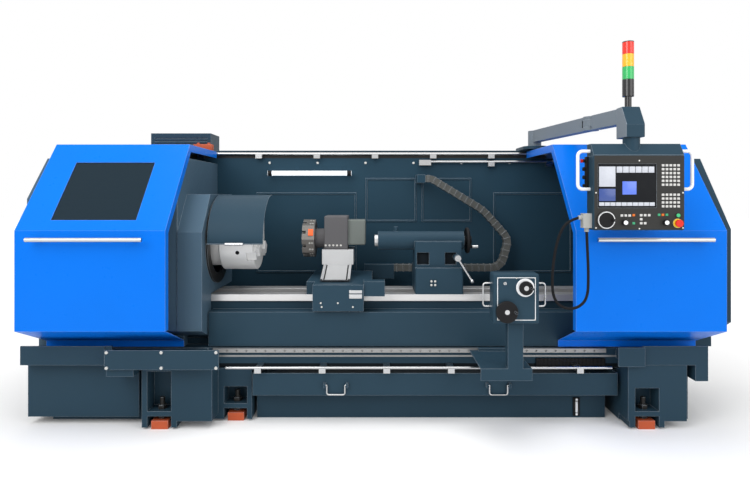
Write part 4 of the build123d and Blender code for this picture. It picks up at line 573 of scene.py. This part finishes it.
PLUG_SIDE = 3
shape = Shape()
corners = []
for out in (0.0, PLUG_RISE):
    for along in (-PLUG_HALF, PLUG_HALF):
        for x in PLUG_X:
            corners.append(shape.mesh.verts.new(turret_point(x, out, along, PLUG_SIDE)))
for face in ((0, 1, 3, 2), (4, 6, 7, 5), (0, 4, 5, 1), (2, 3, 7, 6), (0, 2, 6, 4), (1, 5, 7, 3)):
    shape.mesh.faces.new([corners[i] for i in face])
shape.piece("turret_plug", coat("plug_finish", ORANGE_PLASTIC, edges=False), "turret", 0.002)
shape = Shape()
for side in range(TURRET_SIDES):
    if side != PLUG_SIDE:
        for x in TURRET_SCREW_X:
            for along in (-PLUG_HALF, PLUG_HALF):
                shape.rod(turret_point(x, 0.0, along, side), turret_point(x, TURRET_SCREW_RISE, along, side),
                          TURRET_SCREW_R, 12)
shape.piece("turret_screws", zinc, "turret")

HOUSING_SCREW_X0 = -0.338
HOUSING_SCREW_PITCH = 0.026
HOUSING_SCREWS = tuple((HOUSING_SCREW_X0 + HOUSING_SCREW_PITCH * i, 1.058) for i in range(5))
screws("housing_screws", HOUSING_SCREWS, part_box("turret_housing")[0].y, "cross_slide", 0.007, 0.005)

SADDLE_Y = -0.370
SADDLE_SCREWS = ((-0.336, 0.734), (-0.330, 0.710), (-0.230, 0.734), (-0.137, 0.710))
screws("saddle_screws", SADDLE_SCREWS, SADDLE_Y, "carriage", 0.006, 0.004)

TAIL_SCREWS = tuple((x, z) for x in (0.362, 0.386) for z in (0.826, 0.850))
screws("tailstock_screws", TAIL_SCREWS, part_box("tailstock")[0].y, "tailstock", 0.0075, 0.005)

SADDLE_PLATES = ((-0.160, -0.080, 0.762, 0.788), (-0.160, -0.080, 0.794, 0.813))
PLATE_RISE = 0.004
shape = Shape()
for x0, x1, z0, z1 in SADDLE_PLATES:
    shape.box((x0, SADDLE_Y - PLATE_RISE, z0), (x1, SADDLE_Y, z1))
shape.piece("saddle_plates", cover_steel, "carriage", 0.001)

# Key sockets round the chuck

CHUCK_AT = (-0.090, 1.100)
CHUCK_R = 0.190
SOCKET_X = -0.878
SOCKET_R = 0.013
SOCKET_RISE = 0.0008
SOCKET_ANGLES = (200.0, 320.0, 80.0)
shape = Shape()
for angle in SOCKET_ANGLES:
    out = Vector((0.0, math.cos(math.radians(angle)), math.sin(math.radians(angle))))
    middle = Vector((SOCKET_X, *CHUCK_AT))
    shape.rod(middle + out * (CHUCK_R - SOCKET_RISE), middle + out * (CHUCK_R + SOCKET_RISE), SOCKET_R)
shape.piece("chuck_sockets", black_rubber, "spindle")

# Dark end caps of the work light

LAMP_ENDS = ((-0.808, -0.774), (-0.212, -0.178))
LAMP_END_R = 0.020
LAMP_CAP_R = 0.0204
LAMP_AT = (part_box("work_light")[0].y + LAMP_END_R, 1.568)
shape = Shape()
for x0, x1 in LAMP_ENDS:
    shape.rod((x0, *LAMP_AT), (x1, *LAMP_AT), LAMP_CAP_R)
shape.piece("lamp_caps", black_plastic, "machine", 0.002)

# Connector strip and button on the left side of the panel case

STRIP_LOW = (1.150, -0.792, 1.430)
STRIP_HIGH = (1.163, -0.764, 1.612)
PLUG_Y = -0.778
PLUGS = ((1.590, 0.0095), (1.545, 0.0110), (1.500, 0.0110), (1.455, 0.0090))
PLUG_LENGTH = 0.014
shape = Shape()
shape.box(STRIP_LOW, STRIP_HIGH)
for z, radius in PLUGS:
    shape.rod((STRIP_LOW[0], PLUG_Y, z), (STRIP_LOW[0] - PLUG_LENGTH, PLUG_Y, z), radius)
shape.piece("panel_connectors", black_plastic, "panel", 0.0015)
BUTTON_STEPS = ((0.004, 0.0080), (0.006, 0.0105))
button_z = PLUGS[0][0]
reach = STRIP_LOW[0] - PLUG_LENGTH
shape = Shape()
for length, radius in BUTTON_STEPS:
    shape.rod((reach, PLUG_Y, button_z), (reach - length, PLUG_Y, button_z), radius)
    reach -= length
side_button = coat("side_button_finish", STOP_RED, edges=False)
shape.piece("panel_side_button", side_button, "panel", 0.001)

# Drag chain lying in the trough below the rail

LINK_X0 = 1.004
LINK_PITCH = 0.024
LINK_GAP = 0.003
LINK_COUNT = 18
LINK_Y = (-0.352, -0.338)
LINK_Z = (0.337, 0.385)
LINK_STEP = (0.002, 0.005)
shape = Shape()
for i in range(LINK_COUNT):
    x = LINK_X0 + LINK_PITCH * i
    shape.box((x, LINK_Y[0], LINK_Z[0]), (x + LINK_PITCH - LINK_GAP, LINK_Y[1], LINK_Z[1]))
shape.box((LINK_X0, LINK_Y[0] + LINK_STEP[0], LINK_Z[0] + LINK_STEP[1]),
          (LINK_X0 + LINK_PITCH * LINK_COUNT, LINK_Y[1], LINK_Z[1] - LINK_STEP[1]))
shape.piece("trough_chain", black_plastic, "machine", 0.0015)

# Orange transport clamp on the top beam

CLAMP_LOW = (-1.395, 0.460, 1.7430)
CLAMP_HIGH = (-1.255, 0.520, 1.795)
CLAMP_SCREWS_X = (-1.365, -1.285)
CLAMP_SCREW_Y = 0.490
CLAMP_SCREW = 0.012
shape = Shape()
shape.box(CLAMP_LOW, CLAMP_HIGH)
for x in CLAMP_SCREWS_X:
    shape.rod((x, CLAMP_SCREW_Y, CLAMP_HIGH[2]), (x, CLAMP_SCREW_Y, CLAMP_HIGH[2] + CLAMP_SCREW), CLAMP_SCREW)
shape.piece("transport_clamp", coat("clamp_finish", ORANGE_PAINT), "machine", 0.003)

# Level gauge on the front of the coolant tank

TANK_Y = -0.305
GAUGE_X = 1.269
GAUGE_Z = (0.012, 0.128)
GAUGE_HALF = 0.022
GAUGE_RISE = 0.008
GAUGE_TUBE_R = 0.0075
GAUGE_END = 0.024
shape = Shape()
shape.box((GAUGE_X - GAUGE_HALF, TANK_Y - GAUGE_RISE, GAUGE_Z[0]), (GAUGE_X + GAUGE_HALF, TANK_Y, GAUGE_Z[1]))
shape.piece("gauge_back", black_plastic, "machine", 0.003)
shape = Shape()
y = TANK_Y - GAUGE_RISE
shape.rod((GAUGE_X, y, GAUGE_Z[0] + GAUGE_END), (GAUGE_X, y, GAUGE_Z[1] - GAUGE_END), GAUGE_TUBE_R)
for z in (GAUGE_Z[0] + GAUGE_END / 2, GAUGE_Z[1] - GAUGE_END / 2):
    shape.rod((GAUGE_X, y, z), (GAUGE_X, y - GAUGE_RISE / 2, z), GAUGE_TUBE_R)
shape.piece("gauge_tube", white_paint, "machine", 0.001)

# Panel conduit: one smooth hanging loop of corrugated hose

CONDUIT_Y = -0.815
CONDUIT_D = 0.015
CONDUIT = ((1.143, 1.210), (1.147, 1.115), (1.153, 0.985), (1.150, 0.846), (1.094, 0.790), (1.016, 0.790),
           (0.960, 0.846), (0.957, 0.975), (0.972, 1.100), (1.000, 1.205), (1.045, 1.265), (1.103, 1.281))
curve = bpy.data.curves.new("panel_hose", "CURVE")
curve.dimensions = "3D"
line = curve.splines.new("NURBS")
line.points.add(len(CONDUIT) - 1)
for point, (x, z) in zip(line.points, CONDUIT):
    point.co = (x, CONDUIT_Y, z, 1.0)
line.order_u = 3
line.use_endpoint_u = True
line.resolution_u = 12
curve.bevel_depth = CONDUIT_D / 2
curve.bevel_resolution = 5
curve.materials.append(black_rubber)
hose = bpy.data.objects.new("panel_hose", curve)
bpy.context.scene.collection.objects.link(hose)
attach(hose, "panel")
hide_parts("panel_conduit")

# Cable chain: a copy of the chain's mesh with its own finish, in place of the part's chain

chain = bpy.data.objects.new("cable_chain_links", nodes["cable_chain"].data.copy())
bpy.context.scene.collection.objects.link(chain)
chain.data.materials.clear()
chain.data.materials.append(coat("chain_finish", CHAIN_PLASTIC))
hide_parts("cable_chain")
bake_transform(chain)

# Floor, light and camera

FLOOR_SIZE = 60.0
FLOOR_WHITE = 0.92
FLOOR_NEAR = 2.2
FLOOR_FAR = 7.0
FLOOR_LIFT = (0.05, 0.70)
CAMERA_AT = (0.0, -3.842, 1.402)
LENS = 26.9
SENSOR = 36.0
SKY_LIGHT = 0.55
SHIFT_Y = -0.073
LIGHTS = (
    ("key", (-3.6, -5.0, 4.6), (-0.3, 0.0, 0.9), 4.0, 230.0),
    ("fill", (4.4, -4.6, 3.0), (0.3, 0.0, 0.9), 4.0, 120.0),
    ("top", (0.0, -0.8, 5.2), (0.0, -0.2, 0.8), 5.0, 170.0),
)


def seen(tree):
    """1 for rays from the camera and through glass or off metal, which see the background itself."""
    path = shader(tree, "ShaderNodeLightPath")
    straight = maths(tree, "MAXIMUM", path.outputs["Is Camera Ray"], path.outputs["Is Transmission Ray"])
    return maths(tree, "MAXIMUM", straight, path.outputs["Is Glossy Ray"])


bpy.ops.mesh.primitive_plane_add(size=FLOOR_SIZE)
floor = bpy.context.object
floor.name = "floor"
floor_finish = bpy.data.materials.new("floor_finish")
floor_finish.use_nodes = True
floor_surface = floor_finish.node_tree.nodes["Principled BSDF"]
floor_surface.inputs["Base Color"].default_value = (FLOOR_WHITE, FLOOR_WHITE, FLOOR_WHITE, 1.0)
floor_surface.inputs["Roughness"].default_value = 0.9
floor_surface.inputs["Specular IOR Level"].default_value = 0.1
floor_tree = floor_finish.node_tree
length = shader(floor_tree, "ShaderNodeVectorMath", {0: object_point(floor_tree)}, operation="LENGTH")
reach = {"Value": length.outputs["Value"], "From Min": FLOOR_NEAR, "From Max": FLOOR_FAR,
         "To Min": FLOOR_LIFT[0], "To Max": FLOOR_LIFT[1]}
lift = shader(floor_tree, "ShaderNodeMapRange", reach).outputs[0]
floor_surface.inputs["Emission Color"].default_value = (1.0, 1.0, 1.0, 1.0)
glow = maths(floor_tree, "MULTIPLY", lift, seen(floor_tree))
connect(floor_tree, floor_surface.inputs["Emission Strength"], glow)
floor.data.materials.append(floor_finish)

for name, place, target, size, power in LIGHTS:
    lamp = bpy.data.lights.new(name, "AREA")
    lamp.size = size
    lamp.energy = power
    light = bpy.data.objects.new(name, lamp)
    light.location = place
    light.rotation_euler = (Vector(target) - Vector(place)).to_track_quat("-Z", "Y").to_euler()
    bpy.context.scene.collection.objects.link(light)

world = bpy.data.worlds.new("studio")
world.use_nodes = True
bpy.context.scene.world = world
sky = world.node_tree.nodes["Background"]
sky.inputs["Color"].default_value = (1.0, 1.0, 1.0, 1.0)
sky_tree = world.node_tree
connect(sky_tree, sky.inputs["Strength"], mix_number(sky_tree, seen(sky_tree), SKY_LIGHT, 1.0))

camera_data = bpy.data.cameras.new("camera")
camera_data.lens = LENS
camera_data.sensor_width = SENSOR
camera_data.shift_y = SHIFT_Y
camera = bpy.data.objects.new("camera", camera_data)
camera.location = CAMERA_AT
camera.rotation_euler = (math.radians(90.0), 0.0, 0.0)
bpy.context.scene.collection.objects.link(camera)
bpy.context.scene.camera = camera
bpy.context.scene.view_settings.view_transform = "Standard"
